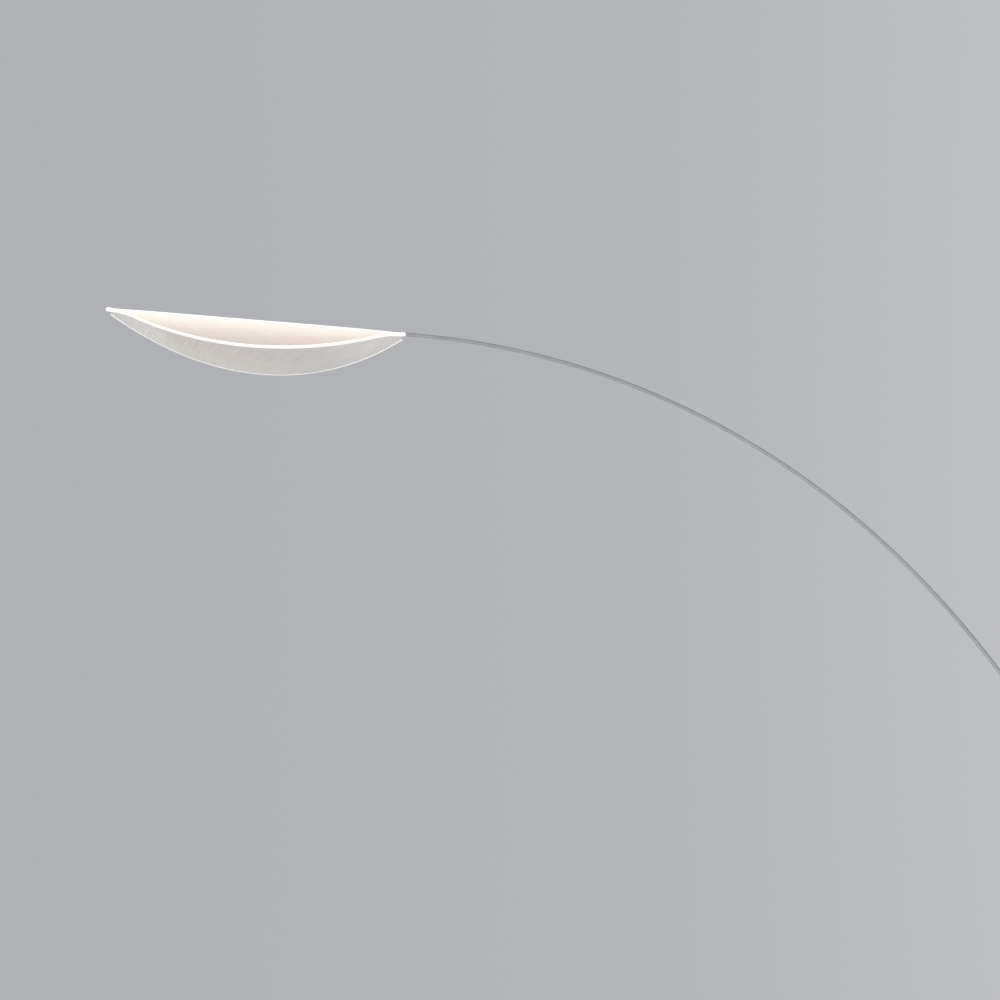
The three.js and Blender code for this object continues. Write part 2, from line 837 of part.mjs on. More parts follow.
function wing(side) {
  const from = spineRun.from;
  const to = spineRun.to;
  const innerHalf = spinePath.stateAt(to).x - headMiddle;
  const flatTo = spineRadius + 1;
  const half = wingThickness / 2;
  const rings = [];
  for (let i = 0; i <= spineSteps; i += 1) {
    const state = spinePath.stateAt(from + (to - from) * (i / spineSteps));
    const reach = ((state.x - headMiddle) / innerHalf) * rimHalf;
    const rimX = headMiddle + reach;
    const rimY = -rimDrop + rimRadius - Math.sqrt(rimRadius ** 2 - reach ** 2);
    const rimAngle = Math.asin(reach / rimRadius);
    const bow = planRadius - Math.sqrt(planRadius ** 2 - reach ** 2);
    const rimZ = wingHalfWidth - bow + endFlare * (reach / rimHalf);
    const inner = { x: state.x, y: state.y, angle: state.angle, z: wingInner };
    const edge = { x: state.x, y: state.y, angle: state.angle, z: flatTo };
    const rim = { x: rimX, y: rimY, angle: rimAngle, z: rimZ };
    const offset = (place, lift) => [
      place.x - Math.sin(place.angle) * lift,
      place.y + Math.cos(place.angle) * lift,
      side * place.z,
    ];
    rings.push([
      offset(inner, half),
      offset(edge, half),
      offset(rim, half),
      offset(rim, -half),
      offset(edge, -half),
      offset(inner, -half),
    ]);
  }
  return cut(lofted(rings), dowelHoles(side));
}
add(head, 'wing_front', wing(1), clearAcrylic);
add(head, 'wing_back', wing(-1), clearAcrylic);

dowelPlaces.forEach((distance, i) => {
  const pin = (side) => ontoSpine(rod(dowelRadius, dowelBottom, dowelTop, 10), distance, side);
  add(head, `wing_pin_front_${i + 1}`, pin(1), satinSteel);
  add(head, `wing_pin_back_${i + 1}`, pin(-1), satinSteel);
});

function tipCap() {
  return turned([
    ...roundStretch(0, -spineStub + spineRadius, spineRadius, -Math.PI / 2, 0, 4),
    [spineRadius, 0],
    [2, 0],
    [2, -4],
    [0, -4],
  ], 20);
}
const tip = add(head, 'tip_cap', tipCap(), opalAcrylic);
tip.position.x = -headLength + spineStub;
tip.rotation.z = -Math.PI / 2;

// ---------------------------------------------------------------- roll joint, on the head's side

// These are turned about the stem's last straight stretch; +Y of each runs toward the head.
const collarFrom = rollWasherThickness + 2 * fit;
const flangeFrom = spineStub - rollFlangeThickness - fit;
const rollFlangeRadius = spineRadius - 1.4;
const hubTipRadius = hubTipDiameter / 2;

function rollJoint(name, geometry, material) {
  const mesh = add(head, name, geometry, material);
  mesh.rotation.z = Math.PI / 2;
  return mesh;
}

rollJoint('roll_washer', ring(rollBushBore, hubTipRadius, fit, fit + rollWasherThickness, 20), slidePlastic);
rollJoint('hub_collar', turned([
  [rollBushBore, collarFrom],
  [hubTipRadius, collarFrom],
  [spineRadius - 0.4, collarFrom + hubTaper - 1],
  [spineRadius, collarFrom + hubTaper],
  [spineRadius, spineStub],
  [rollFlangeRadius + fit, spineStub],
  [rollFlangeRadius + fit, flangeFrom - fit],
  [rollBushBore, flangeFrom - fit],
], 24), opalAcrylic);
rollJoint('roll_pin', turned([
  [rollPinBore / 2, -rollPinEnd],
  [rollPinRadius, -rollPinEnd],
  [rollPinRadius, flangeFrom],
  [rollFlangeRadius, flangeFrom],
  [rollFlangeRadius, flangeFrom + rollFlangeThickness],
  [rollPinBore / 2, flangeFrom + rollFlangeThickness],
], 20), satinSteel);
rollJoint('roll_clip',
  ring(rollBushBore, rollBushRadius, -rollClipFrom - rollClipThickness, -rollClipFrom, 20), darkSteel);
rollJoint('head_lead',
  rod(headLeadDiameter / 2, -rollPinEnd - 0.8, flangeFrom + rollFlangeThickness, 8), copperLead);

export default lamp;
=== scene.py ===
"""Looks of an arc floor lamp with a leaf-shaped, edge-lit head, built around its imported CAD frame.

Metres, +Z up. The stem rises at the origin and reaches over to -X; -Y is the front.
"""

import json
import math

import bmesh
import bpy
import numpy as np
from mathutils import Matrix, Vector


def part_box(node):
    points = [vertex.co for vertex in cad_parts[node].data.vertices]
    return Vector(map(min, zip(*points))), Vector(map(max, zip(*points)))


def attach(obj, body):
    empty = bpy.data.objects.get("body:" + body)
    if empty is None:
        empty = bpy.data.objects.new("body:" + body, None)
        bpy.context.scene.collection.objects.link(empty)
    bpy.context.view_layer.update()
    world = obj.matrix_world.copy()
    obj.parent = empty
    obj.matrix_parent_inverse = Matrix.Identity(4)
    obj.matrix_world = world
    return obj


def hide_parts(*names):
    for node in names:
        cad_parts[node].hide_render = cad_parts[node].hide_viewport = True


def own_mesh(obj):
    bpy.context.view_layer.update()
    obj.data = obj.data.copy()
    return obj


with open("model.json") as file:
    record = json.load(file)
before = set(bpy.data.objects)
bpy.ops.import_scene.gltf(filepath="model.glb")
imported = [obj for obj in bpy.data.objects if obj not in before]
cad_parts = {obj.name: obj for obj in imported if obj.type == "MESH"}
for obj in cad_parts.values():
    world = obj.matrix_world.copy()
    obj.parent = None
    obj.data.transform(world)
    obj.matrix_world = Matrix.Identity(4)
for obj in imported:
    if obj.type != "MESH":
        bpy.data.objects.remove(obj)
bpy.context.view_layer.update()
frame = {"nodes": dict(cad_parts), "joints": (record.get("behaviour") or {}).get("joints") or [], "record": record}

MM = 0.001
SAME_PLACE = 0.01 * MM    # vertices closer than this are one
LEVEL_BAND = 0.05 * MM    # vertices within this height are at one level
PLAY = 0.25 * MM          # gap between parts that fit together
SKIN_CREASE = 40          # degrees between faces from which an edge is sharp
SPINE_CREASE = 35
TURNED_CREASE = 35
WING_CREASE = 25


# ---------------------------------------------------------------- reading the frame

def joint(name):
    return next(j for j in frame["joints"] if j["name"] == name)


def node_points(name):
    """The places of a CAD node's vertices, each once, as an array."""
    mesh = frame["nodes"][name].data
    flat = np.zeros(len(mesh.vertices) * 3)
    mesh.vertices.foreach_get("co", flat)
    places = flat.reshape(-1, 3)
    _, first = np.unique(np.round(places / SAME_PLACE), axis=0, return_index=True)
    return places[first]


def middle(name):
    low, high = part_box(name)
    return (low + high) / 2


def radii_at(name, height):
    """Distances of a node's vertices from the vertical through its middle, at the level nearest a height."""
    points = node_points(name)
    centre = middle(name)
    distance = np.abs(points[:, 2] - height)
    level = points[distance < distance.min() + LEVEL_BAND]
    return np.hypot(level[:, 0] - centre.x, level[:, 1] - centre.y)


def radius_at(name, height):
    return float(radii_at(name, height).max())


def inner_radius_at(name, height):
    return float(radii_at(name, height).min())


def half_width(name):
    low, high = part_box(name)
    return (high.x - low.x) / 2


ROLL = joint("head_roll")
HEAD_ORIGIN = Vector(ROLL["pos_m"])
HEAD_BACK = Vector(ROLL["axis"]).normalized()
HEAD_UP = Vector((-HEAD_BACK.z, 0, HEAD_BACK.x))
HEAD_TO_WORLD = Matrix((
    (HEAD_BACK.x, 0, HEAD_UP.x, HEAD_ORIGIN.x),
    (0, 1, 0, 0),
    (HEAD_BACK.z, 0, HEAD_UP.z, HEAD_ORIGIN.z),
    (0, 0, 0, 1),
))


def head_points(name):
    """A CAD node's vertices in the head's frame: x along the head toward the stem, z up from its chord."""
    inverse = np.array(HEAD_TO_WORLD.inverted())
    points = node_points(name)
    return points @ inverse[:3, :3].T + inverse[:3, 3]


# ---------------------------------------------------------------- mesh making

def link(name, mesh):
    piece = bpy.data.objects.new(name, mesh)
    bpy.context.scene.collection.objects.link(piece)
    return piece


def soften(mesh, crease):
    """Smooth shading over a whole mesh, apart from edges that turn by more than crease degrees."""
    mesh.polygons.foreach_set("use_smooth", [True] * len(mesh.polygons))
    mesh.set_sharp_from_angle(angle=math.radians(crease))


def mesh_from(name, vertices, faces, uvs, crease, slots=None):
    """A mesh object from lists. uvs holds one (u, v) for each corner of each face, and slots one material
    index for each face."""
    mesh = bpy.data.meshes.new(name)
    mesh.from_pydata([tuple(v) for v in vertices], [], faces)
    layer = mesh.uv_layers.new(name="UVMap")
    layer.data.foreach_set("uv", np.array(uvs, np.float32).ravel())
    if slots is not None:
        mesh.polygons.foreach_set("material_index", np.array(slots, np.int32))
    soften(mesh, crease)
    mesh.update()
    return link(name, mesh)


def ring_skin(name, rings, lengths, around, crease, hoop=False):
    """A closed skin over rings of points, capped at both ends or, as a hoop, joined from the last ring to the
    first. lengths gives v along the rings and around gives u round them, in metres."""
    size = len(rings[0])
    last = len(rings) - 1
    vertices = [point for ring in rings for point in ring]
    faces = []
    uvs = []
    for i in range(len(rings) if hoop else last):
        m = (i + 1) % len(rings)
        level = lengths[m] if m else lengths[i] + (rings[m][0] - rings[i][0]).length
        for j in range(size):
            k = (j + 1) % size
            faces.append((i * size + j, i * size + k, m * size + k, m * size + j))
            uvs += [(around[j], lengths[i]), (around[j + 1], lengths[i])]
            uvs += [(around[j + 1], level), (around[j], level)]
    caps = () if hoop else ((0, range(size - 1, -1, -1)), (last, range(size)))
    for i, ring in caps:
        faces.append(tuple(i * size + j for j in ring))
        uvs += [(around[j], lengths[i]) for j in ring]
    piece = mesh_from(name, vertices, faces, uvs, crease)
    face_outward(piece)
    return piece


def face_outward(piece):
    work = bmesh.new()
    work.from_mesh(piece.data)
    bmesh.ops.recalc_face_normals(work, faces=work.faces)
    work.to_mesh(piece.data)
    work.free()


def fillet(points, radii, steps):
    """An outline with its corners rounded: radii holds one radius for each point, 0 for a sharp one."""
    size = len(points)
    rounded = []
    for i, radius in enumerate(radii):
        here = Vector(points[i])
        if radius <= 0:
            rounded.append(tuple(here))
            continue
        before = Vector(points[i - 1]) - here
        after = Vector(points[(i + 1) % size]) - here
        half = before.angle(after) / 2
        reach = radius / math.tan(half)
        start = here + before.normalized() * reach
        finish = here + after.normalized() * reach
        bisector = (before.normalized() + after.normalized()).normalized()
        centre = here + bisector * (radius / math.sin(half))
        for k in range(steps + 1):
            blend = start.lerp(finish, k / steps) - centre
            rounded.append(tuple(centre + blend.normalized() * radius))
    return rounded


def turned_skin(name, outline, place=Matrix.Identity(4), segments=96):
    """A body turned about the Z axis of a place. The outline is a closed loop of (radius, height) points;
    points on the axis close it."""
    on_axis = [radius == 0 for radius, _ in outline]
    size = len(outline)
    runs = [0.0]
    for i in range(size):
        a, b = Vector(outline[i]), Vector(outline[(i + 1) % size])
        runs.append(runs[-1] + (b - a).length)
    vertices = []
    index = []
    for i, (radius, height) in enumerate(outline):
        if on_axis[i]:
            index.append([len(vertices)] * segments)
            vertices.append(place @ Vector((0, 0, height)))
            continue
        index.append(list(range(len(vertices), len(vertices) + segments)))
        for k in range(segments):
            angle = 2 * math.pi * k / segments
            vertices.append(place @ Vector((radius * math.cos(angle), radius * math.sin(angle), height)))
    faces = []
    uvs = []
    widest = max(radius for radius, _ in outline)
    for i in range(size):
        j = (i + 1) % size
        if on_axis[i] and on_axis[j]:
            continue
        for k in range(segments):
            m = (k + 1) % segments
            left = 2 * math.pi * widest * k / segments
            right = 2 * math.pi * widest * (k + 1) / segments
            corners = [(index[i][k], left, runs[i]), (index[j][k], left, runs[i + 1])]
            corners += [(index[j][m], right, runs[i + 1]), (index[i][m], right, runs[i])]
            unique = []
            for corner in corners:
                if corner[0] not in [c[0] for c in unique]:
                    unique.append(corner)
            faces.append(tuple(c[0] for c in unique))
            uvs += [(c[1], c[2]) for c in unique]
    piece = mesh_from(name, vertices, faces, uvs, TURNED_CREASE)
    face_outward(piece)
    return piece


def smooth_line(points, count):
    """Points spaced evenly along a smooth curve through the given points."""
    given = np.array(points, float)
    steps = np.linalg.norm(np.diff(given, axis=0), axis=1)
    at = np.concatenate([[0], np.cumsum(steps)])
    slopes = np.gradient(given, at, axis=0)
    wanted = np.linspace(0, at[-1], count)
    spot = np.clip(np.searchsorted(at, wanted, side="right") - 1, 0, len(at) - 2)
    span = (at[spot + 1] - at[spot])[:, None]
    t = ((wanted - at[spot])[:, None]) / span
    p0, p1 = given[spot], given[spot + 1]
    m0, m1 = slopes[spot] * span, slopes[spot + 1] * span
    curve = (2 * t**3 - 3 * t**2 + 1) * p0 + (t**3 - 2 * t**2 + t) * m0
    curve += (-2 * t**3 + 3 * t**2) * p1 + (t**3 - t**2) * m1
    return curve, wanted


def cut_with(piece, cutters):
    """Cuts the pieces in cutters out of piece, for good, and clears the slivers that leaves."""
    for cutter in cutters:
        modifier = piece.modifiers.new("cut", "BOOLEAN")
        modifier.operation = "DIFFERENCE"
        modifier.solver = "EXACT"
        modifier.object = cutter
    graph = bpy.context.evaluated_depsgraph_get()
    mesh = bpy.data.meshes.new_from_object(piece.evaluated_get(graph))
    piece.modifiers.clear()
    work = bmesh.new()
    work.from_mesh(mesh)
    bmesh.ops.dissolve_degenerate(work, dist=0.001 * MM, edges=work.edges)
    work.to_mesh(mesh)
    work.free()
    piece.data = mesh
    soften(mesh, TURNED_CREASE)
    for cutter in cutters:
        bpy.data.objects.remove(cutter)
    return piece


# ---------------------------------------------------------------- materials

def set_stops(elements, stops):
    """Gives a colour ramp its stops, each a position and a colour."""
    while len(elements) < len(stops):
        elements.new(0.5)
    for element, (position, colour) in zip(elements, stops):
        element.position = position
        element.color = (*colour, 1)


class Nodes:
    """A short way to write a material's node tree."""

    def __init__(self, name):
        self.material = bpy.data.materials.new(name)
        self.material.use_nodes = True
        self.tree = self.material.node_tree
        self.tree.nodes.clear()
        self.output = self.tree.nodes.new("ShaderNodeOutputMaterial")
        self.shader = self.tree.nodes.new("ShaderNodeBsdfPrincipled")
        self.link(self.shader.outputs[0], self.output.inputs["Surface"])

    def new(self, kind, **settings):
        node = self.tree.nodes.new("ShaderNode" + kind)
        for key, value in settings.items():
            setattr(node, key, value)
        return node

    def link(self, source, target):
        self.tree.links.new(source, target)

    def set(self, **values):
        for key, value in values.items():
            self.shader.inputs[key.replace("_", " ")].default_value = value

    def coordinates(self, scale, kind="Object"):
        source = self.new("TexCoord")
        mapping = self.new("Mapping")
        mapping.inputs["Scale"].default_value = scale
        self.link(source.outputs[kind], mapping.inputs["Vector"])
        return mapping.outputs["Vector"]

    def noise(self, vector, scale, detail, roughness):
        node = self.new("TexNoise")
        node.inputs["Scale"].default_value = scale
        node.inputs["Detail"].default_value = detail
        node.inputs["Roughness"].default_value = roughness
        self.link(vector, node.inputs["Vector"])
        return node.outputs["Fac"]

    def remap(self, value, low, high, to_low, to_high):
        node = self.new("MapRange")
        node.inputs["From Min"].default_value = low
        node.inputs["From Max"].default_value = high
        node.inputs["To Min"].default_value = to_low
        node.inputs["To Max"].default_value = to_high
        self.link(value, node.inputs["Value"])
        return node.outputs["Result"]

    def ramp(self, value, stops):
        node = self.new("ValToRGB")
        set_stops(node.color_ramp.elements, stops)
        self.link(value, node.inputs["Fac"])
        return node.outputs["Color"]

    def math(self, operation, *values):
        node = self.new("Math", operation=operation)
        for socket, value in zip(node.inputs, values):
            if isinstance(value, (int, float)):
                socket.default_value = value
            else:
                self.link(value, socket)
        return node.outputs["Value"]

    def mix_colour(self, factor, first, second):
        """first where factor is 0 and second, a plain colour, where it is 1."""
        node = self.new("Mix", data_type="RGBA")
        sockets = {socket.identifier: socket for socket in (*node.inputs, *node.outputs)}
        self.link(factor, sockets["Factor_Float"])
        self.link(first, sockets["A_Color"])
        sockets["B_Color"].default_value = (*second, 1)
        return sockets["Result_Color"]

    def bump(self, height, strength, distance):
        node = self.new("Bump")
        node.inputs["Strength"].default_value = strength
        node.inputs["Distance"].default_value = distance
        self.link(height, node.inputs["Height"])
        self.link(node.outputs["Normal"], self.shader.inputs["Normal"])


def shade(colour, factor):
    return tuple(min(1.0, c * factor) for c in colour)


BROAD_LINES = 12
METAL_PATCH = 0.06
DUST = (0.5, 0.49, 0.47)
WORN_FROM = 4.5 * MM      # distances in from an edge between which a coat is worn
WORN_TO = 0.5 * MM


def metal(name, colour, roughness, lines, kind="UV"):
    """Metal with fine lines, and cloudy patches where it has been handled. lines is how many lines there are
    to a metre along each of the coordinates: few along the way they run."""
    n = Nodes(name)
    fine = n.noise(n.coordinates(lines, kind), 1.0, 3.0, 0.6)
    broad = n.noise(n.coordinates(tuple(c / BROAD_LINES for c in lines), kind), 1.0, 2.0, 0.5)
    clouds = n.noise(n.coordinates((9, 9, 9)), 1.0, 5.0, 0.6)
    grain = n.math("ADD", n.math("MULTIPLY", fine, 0.5), n.math("MULTIPLY", broad, 0.5))
    mixed = n.math("ADD", n.math("MULTIPLY", grain, 0.6), n.math("MULTIPLY", clouds, 0.4))
    tone = n.ramp(mixed, [(0.32, shade(colour, 0.88)), (0.68, shade(colour, 1.08))])
    n.link(tone, n.shader.inputs["Base Color"])
    rough_here = n.remap(mixed, 0.3, 0.7, roughness - METAL_PATCH, roughness + METAL_PATCH)
    n.link(rough_here, n.shader.inputs["Roughness"])
    n.set(Metallic=1.0)
    n.bump(fine, 0.12, 0.04 * MM)
    return n.material


def coated(name, colour, roughness, metallic=0.0, pebble=900.0, relief=0.3, patch=0.06, tint=0.06, edge=None):
    """Painted, moulded or rubber surface: fine pebbling, soft uneven gloss and a little dust. patch is how
    far the roughness varies, and tint how far the colour does. edge is the radius about the upright axis
    where the coat is rubbed, thinner and shinier."""
    n = Nodes(name)
    place = n.coordinates((1, 1, 1))
    fine = n.noise(place, pebble, 2.0, 0.5)
    clouds = n.noise(place, 14.0, 6.0, 0.65)
    specks = n.noise(place, 420.0, 1.0, 0.4)
    colour_here = n.ramp(clouds, [(0.35, shade(colour, 1 - tint)), (0.65, shade(colour, 1 + tint))])
    rough_here = n.remap(clouds, 0.3, 0.7, roughness - patch, roughness + patch)
    dust = n.remap(specks, 0.72, 0.78, 0.0, 0.35)
    colour_here = n.mix_colour(n.math("MULTIPLY", dust, 4 * tint), colour_here, DUST)
    if edge:
        flat = n.new("VectorMath", operation="MULTIPLY")
        flat.inputs[1].default_value = (1, 1, 0)
        n.link(place, flat.inputs[0])
        reach = n.new("VectorMath", operation="LENGTH")
        n.link(flat.outputs[0], reach.inputs[0])
        near = n.remap(reach.outputs["Value"], edge - WORN_FROM, edge - WORN_TO, 0.0, 1.0)
        patches = n.remap(n.noise(place, 90.0, 6.0, 0.75), 0.56, 0.7, 0.0, 1.0)
        worn = n.math("MULTIPLY", near, patches)
        colour_here = n.mix_colour(n.math("MULTIPLY", worn, 0.45), colour_here, shade(colour, 1.5))
        rough_here = n.math("SUBTRACT", rough_here, n.math("MULTIPLY", worn, 0.14))
    n.link(colour_here, n.shader.inputs["Base Color"])
    n.link(rough_here, n.shader.inputs["Roughness"])
    n.set(Metallic=metallic)
    n.bump(fine, relief, 0.08 * MM)
    return n.material


ACRYLIC_IOR = 1.49
BLACK = (0.0, 0.0, 0.0, 1)


def opal(name, colour, chip_pitch=None):
    """Milky acrylic lit from inside: even light, with a faint unevenness over each light chip. V runs along
    the piece, in metres."""
    n = Nodes(name)
    clouds = n.noise(n.coordinates((60, 60, 60)), 1.0, 3.0, 0.5)
    level = clouds
    if chip_pitch:
        split = n.new("SeparateXYZ")
        n.link(n.coordinates((1, 1, 1), "UV"), split.inputs["Vector"])
        swing = n.math("SINE", n.math("MULTIPLY", split.outputs["Y"], 2 * math.pi / chip_pitch))
        level = n.math("ADD", clouds, n.math("MULTIPLY", swing, 0.2))
    n.set(Base_Color=(0.4, 0.39, 0.37, 1), Roughness=0.32, IOR=ACRYLIC_IOR, Emission_Strength=1.0)
    n.link(n.ramp(level, [(0.2, shade(colour, 0.95)), (0.8, colour)]), n.shader.inputs["Emission Color"])
    n.bump(clouds, 0.05, 0.1 * MM)
    return n.material


def veins(n, depth):
    """A factor near 1 for the fine engraved lines that fan out across a wing, read from its Veins map."""
    source = n.new("UVMap", uv_map="Veins")
    mapping = n.new("Mapping")
    mapping.inputs["Scale"].default_value = (260, 14, 1)
    n.link(source.outputs["UV"], mapping.inputs["Vector"])
    return n.remap(n.noise(mapping.outputs["Vector"], 1.0, 3.0, 0.6), 0.3, 0.7, 1 - depth, 1 + depth)


def scaled(n, colour, factor):
    """colour times a factor that varies over the surface."""
    scale = n.new("VectorMath", operation="SCALE")
    n.link(colour, scale.inputs[0])
    n.link(factor, scale.inputs["Scale"])
    return scale.outputs[0]


def wing_glow(name):
    """The lit faces of the wing's fine teeth. U is the distance in from the rim, in metres."""
    n = Nodes(name)
    split = n.new("SeparateXYZ")
    n.link(n.coordinates((1, 1, 1), "UV"), split.inputs["Vector"])
    inward = n.remap(split.outputs["X"], 0.0, 0.115, 0.0, 1.0)
    mottle = n.noise(n.coordinates((35, 35, 35)), 1.0, 4.0, 0.6)
    shifted = n.math("ADD", inward, n.remap(mottle, 0.3, 0.7, -0.035, 0.035))
    colour = n.ramp(shifted, [
        (0.0, (1.0, 0.985, 0.95)),
        (0.26, (0.95, 0.89, 0.79)),
        (0.61, (0.81, 0.71, 0.64)),
        (0.95, (0.70, 0.625, 0.57)),
    ])
    n.set(Base_Color=BLACK, Roughness=0.4, IOR=ACRYLIC_IOR, Emission_Strength=1.0)
    n.link(scaled(n, colour, veins(n, 0.07)), n.shader.inputs["Emission Color"])
    return n.material


WING_RUN = 0.72           # about the length of a wing's rim


def wing_clear(name, haze, alpha, depth, rim_share=1.0, end_lift=0.0):
    """Clear sheet with a little haze from the light inside it, streaked by depth. The haze falls to rim_share
    of itself at the rim, where the lit teeth are brighter, and rises by end_lift toward the two ends."""
    n = Nodes(name)
    split = n.new("SeparateXYZ")
    n.link(n.coordinates((1, 1, 1), "UV"), split.inputs["Vector"])
    inward = n.remap(split.outputs["X"], 0.0, 0.09, rim_share, 1.0)
    from_middle = n.math("ABSOLUTE", n.math("SUBTRACT", split.outputs["Y"], WING_RUN / 2))
    ends = n.remap(from_middle, WING_RUN * 0.25, WING_RUN * 0.5, 1.0, 1.0 + end_lift)
    level = n.math("MULTIPLY", inward, ends)
    mottle = n.noise(n.coordinates((30, 30, 30)), 1.0, 4.0, 0.6)
    n.set(Base_Color=BLACK, Roughness=0.08, IOR=ACRYLIC_IOR, Emission_Strength=1.0)
    colour = n.ramp(mottle, [(0.3, shade(haze, 0.97)), (0.7, shade(haze, 1.03))])
    level = n.math("MULTIPLY", level, veins(n, depth))
    n.link(scaled(n, colour, level), n.shader.inputs["Emission Color"])
    clear = n.new("BsdfTransparent")
    mix = n.new("MixShader")
    mix.inputs[0].default_value = alpha
    n.link(clear.outputs[0], mix.inputs[1])
    n.link(n.shader.outputs[0], mix.inputs[2])
    n.link(mix.outputs[0], n.output.inputs["Surface"])
    return n.material


STEEL = (0.63, 0.63, 0.625)
DARK_STEEL = (0.15, 0.15, 0.155)
CHIP_PITCH = 8 * MM
COVER_RADIUS = half_width("base_cover")
EVEN = (260, 260, 260)
LENGTHWISE = (3200, 26, 1)
ROUNDWISE = (26, 3200, 1)
MATERIALS = {
    "satin_steel": metal("satin_steel", STEEL, 0.3, EVEN, "Object"),
    "dark_steel": metal("dark_steel", DARK_STEEL, 0.36, EVEN, "Object"),
    "aluminium": metal("aluminium", (0.86, 0.86, 0.855), 0.42, LENGTHWISE),
    "bronze": metal("bronze", (0.42, 0.27, 0.1), 0.35, EVEN, "Object"),
    "cast_iron": coated("cast_iron", (0.05, 0.05, 0.053), 0.7, 0.6, 500.0, 0.8),
    "painted_steel": coated(
        "painted_steel", (0.27, 0.275, 0.28), 0.4, 0.3, 1400.0, 0.22, edge=COVER_RADIUS),
    "rubber": coated("rubber", (0.018, 0.018, 0.019), 0.8),
    "black_plastic": coated("black_plastic", (0.02, 0.02, 0.021), 0.45),
    "white_plastic": coated("white_plastic", (0.72, 0.7, 0.65), 0.45),
    "circuit_board": coated("circuit_board", (0.02, 0.12, 0.05), 0.35),
    "ferrite": coated("ferrite", (0.03, 0.028, 0.027), 0.6),
    "lead_sheath": coated("lead_sheath", (0.6, 0.58, 0.55), 0.5),
    "led_board": coated("led_board", (0.8, 0.78, 0.7), 0.5),
    "opal_acrylic": opal("opal_acrylic", (0.87, 0.84, 0.765), CHIP_PITCH),
}
DRAWN_STEEL = metal("drawn_steel", STEEL, 0.5, LENGTHWISE)
TURNED_STEEL = metal("turned_steel", STEEL, 0.26, ROUNDWISE)
TURNED_DARK = metal("turned_dark_steel", DARK_STEEL, 0.34, ROUNDWISE)
WING_GLOW = wing_glow("wing_glow")
WING_HAZE = wing_clear(
    "wing_haze", (0.50, 0.475, 0.46), alpha=0.42, depth=0.16, rim_share=0.66, end_lift=0.9)
WING_TOP = wing_clear("wing_top", (0.5, 0.49, 0.47), alpha=0.07, depth=0.05)
WING_RIM = opal("wing_rim", (1.0, 0.98, 0.94))
OPAL_END = opal("opal_end", (0.88, 0.86, 0.81))


# ---------------------------------------------------------------- pieces

def finish_piece(piece, body, slot, node=None, material=None):
    """Gives a piece its material if it has none, the slot's if no other is given, and its body, and hides the CAD
    node that it stands for.
    """
    if not piece.data.materials:
        piece.data.materials.append(material or MATERIALS[slot])
    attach(piece, body)
    if node:
        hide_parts(node)


# -- base

GLAND_HEIGHT = middle("inlet_gland").z
SCREWS = [middle(name) for name in frame["nodes"] if name.startswith("flange_screw")]
SCREW_HOLE = 2.45 * MM
SCREW_FACETS = 24
PAD_GROOVES = (0.93, 0.86, 0.79)           # outer edges, as shares of the pad's radius
PAD_GROOVE_DEPTH = 0.7 * MM
COVER_WALL = 1.5 * MM
COVER_CORNER = 6 * MM
BUTTON_STUB = 2.5 * MM
BUTTON_GROOVES = (0.82, 0.66, 0.50, 0.34)  # outer edges, as shares of the dish's radius
SPRING_TURNS = 4
SPRING_STEPS = 28         # rings of the wire to each turn
WIRE_SIDES = 12
BUTTON_FLANGE = 2.2 * MM
SOCKET_FLANGE = 6 * MM
SCREW_HEAD = 4.25 * MM
FOOT_COLLAR = 9 * MM
STEM_SEAT = 42 * MM


def rod_cutter(radius, low, high, place, sides=32):
    outline = [(0, low), (radius, low), (radius, high), (0, high)]
    return turned_skin("cutter", outline, place, sides)


def upright_at(x, y=0.0):
    return Matrix.Translation((x, y, 0))


def screw_cutters(low, high):
    return [rod_cutter(SCREW_HOLE, low, high, upright_at(at.x, at.y), SCREW_FACETS) for at in SCREWS]


def place_along(origin, axis):
    """A place whose Z axis points along an axis that lies in the plane of the stem."""
    along = Vector(axis).normalized()
    across = Vector((0, 1, 0)).cross(along)
    return Matrix((
        (across.x, 0, along.x, origin[0]),
        (across.y, 1, along.y, origin[1]),
        (across.z, 0, along.z, origin[2]),
        (0, 0, 0, 1),
    ))


def base():
    low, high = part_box("floor_pad")
    radius = high.x
    outline = [(0, low.z), (0, high.z), (radius - 0.5 * MM, high.z), (radius, high.z - 0.5 * MM)]
    outline += [(radius, low.z + 1 * MM), (radius - 1 * MM, low.z)]
    roof = low.z + PAD_GROOVE_DEPTH
    for groove in PAD_GROOVES:
        outer = radius * groove
        outline += [(outer, low.z), (outer - 0.5 * MM, roof)]
        outline += [(outer - 2 * MM, roof), (outer - 2.5 * MM, low.z)]
    finish_piece(turned_skin("pad_skin", outline, segments=128), "base", "rubber", "floor_pad")

    low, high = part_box("base_cover")
    bore = inner_radius_at("base_cover", high.z)
    within = COVER_RADIUS - COVER_WALL
    under = high.z - COVER_WALL
    outline = fillet([
        (bore, high.z), (COVER_RADIUS, high.z), (COVER_RADIUS, low.z), (within, low.z), (within, under),
        (bore, under),
    ], [0, COVER_CORNER, 0.5 * MM, 0.5 * MM, COVER_CORNER - COVER_WALL, 0], 10)
    cover = turned_skin("cover_skin", outline, segments=192)
    well = radius_of_button() + PLAY
    cutters = [turned_skin("cutter", [
        (0, high.z - 5 * MM), (well, high.z - 5 * MM), (well, high.z - 0.5 * MM),
        (well + 1.5 * MM, high.z + 1 * MM), (0, high.z + 1 * MM),
    ], upright_at(middle("dimmer_button").x), 96)]
    side = place_along((0, 0, GLAND_HEIGHT), (1, 0, 0))
    cutters.append(rod_cutter(radius_of_gland() + PLAY, COVER_RADIUS - 8 * MM, COVER_RADIUS + 2 * MM, side))
    cutters += screw_cutters(high.z - 5 * MM, high.z + 1 * MM)
    finish_piece(cut_with(cover, cutters), "base", "painted_steel", "base_cover")


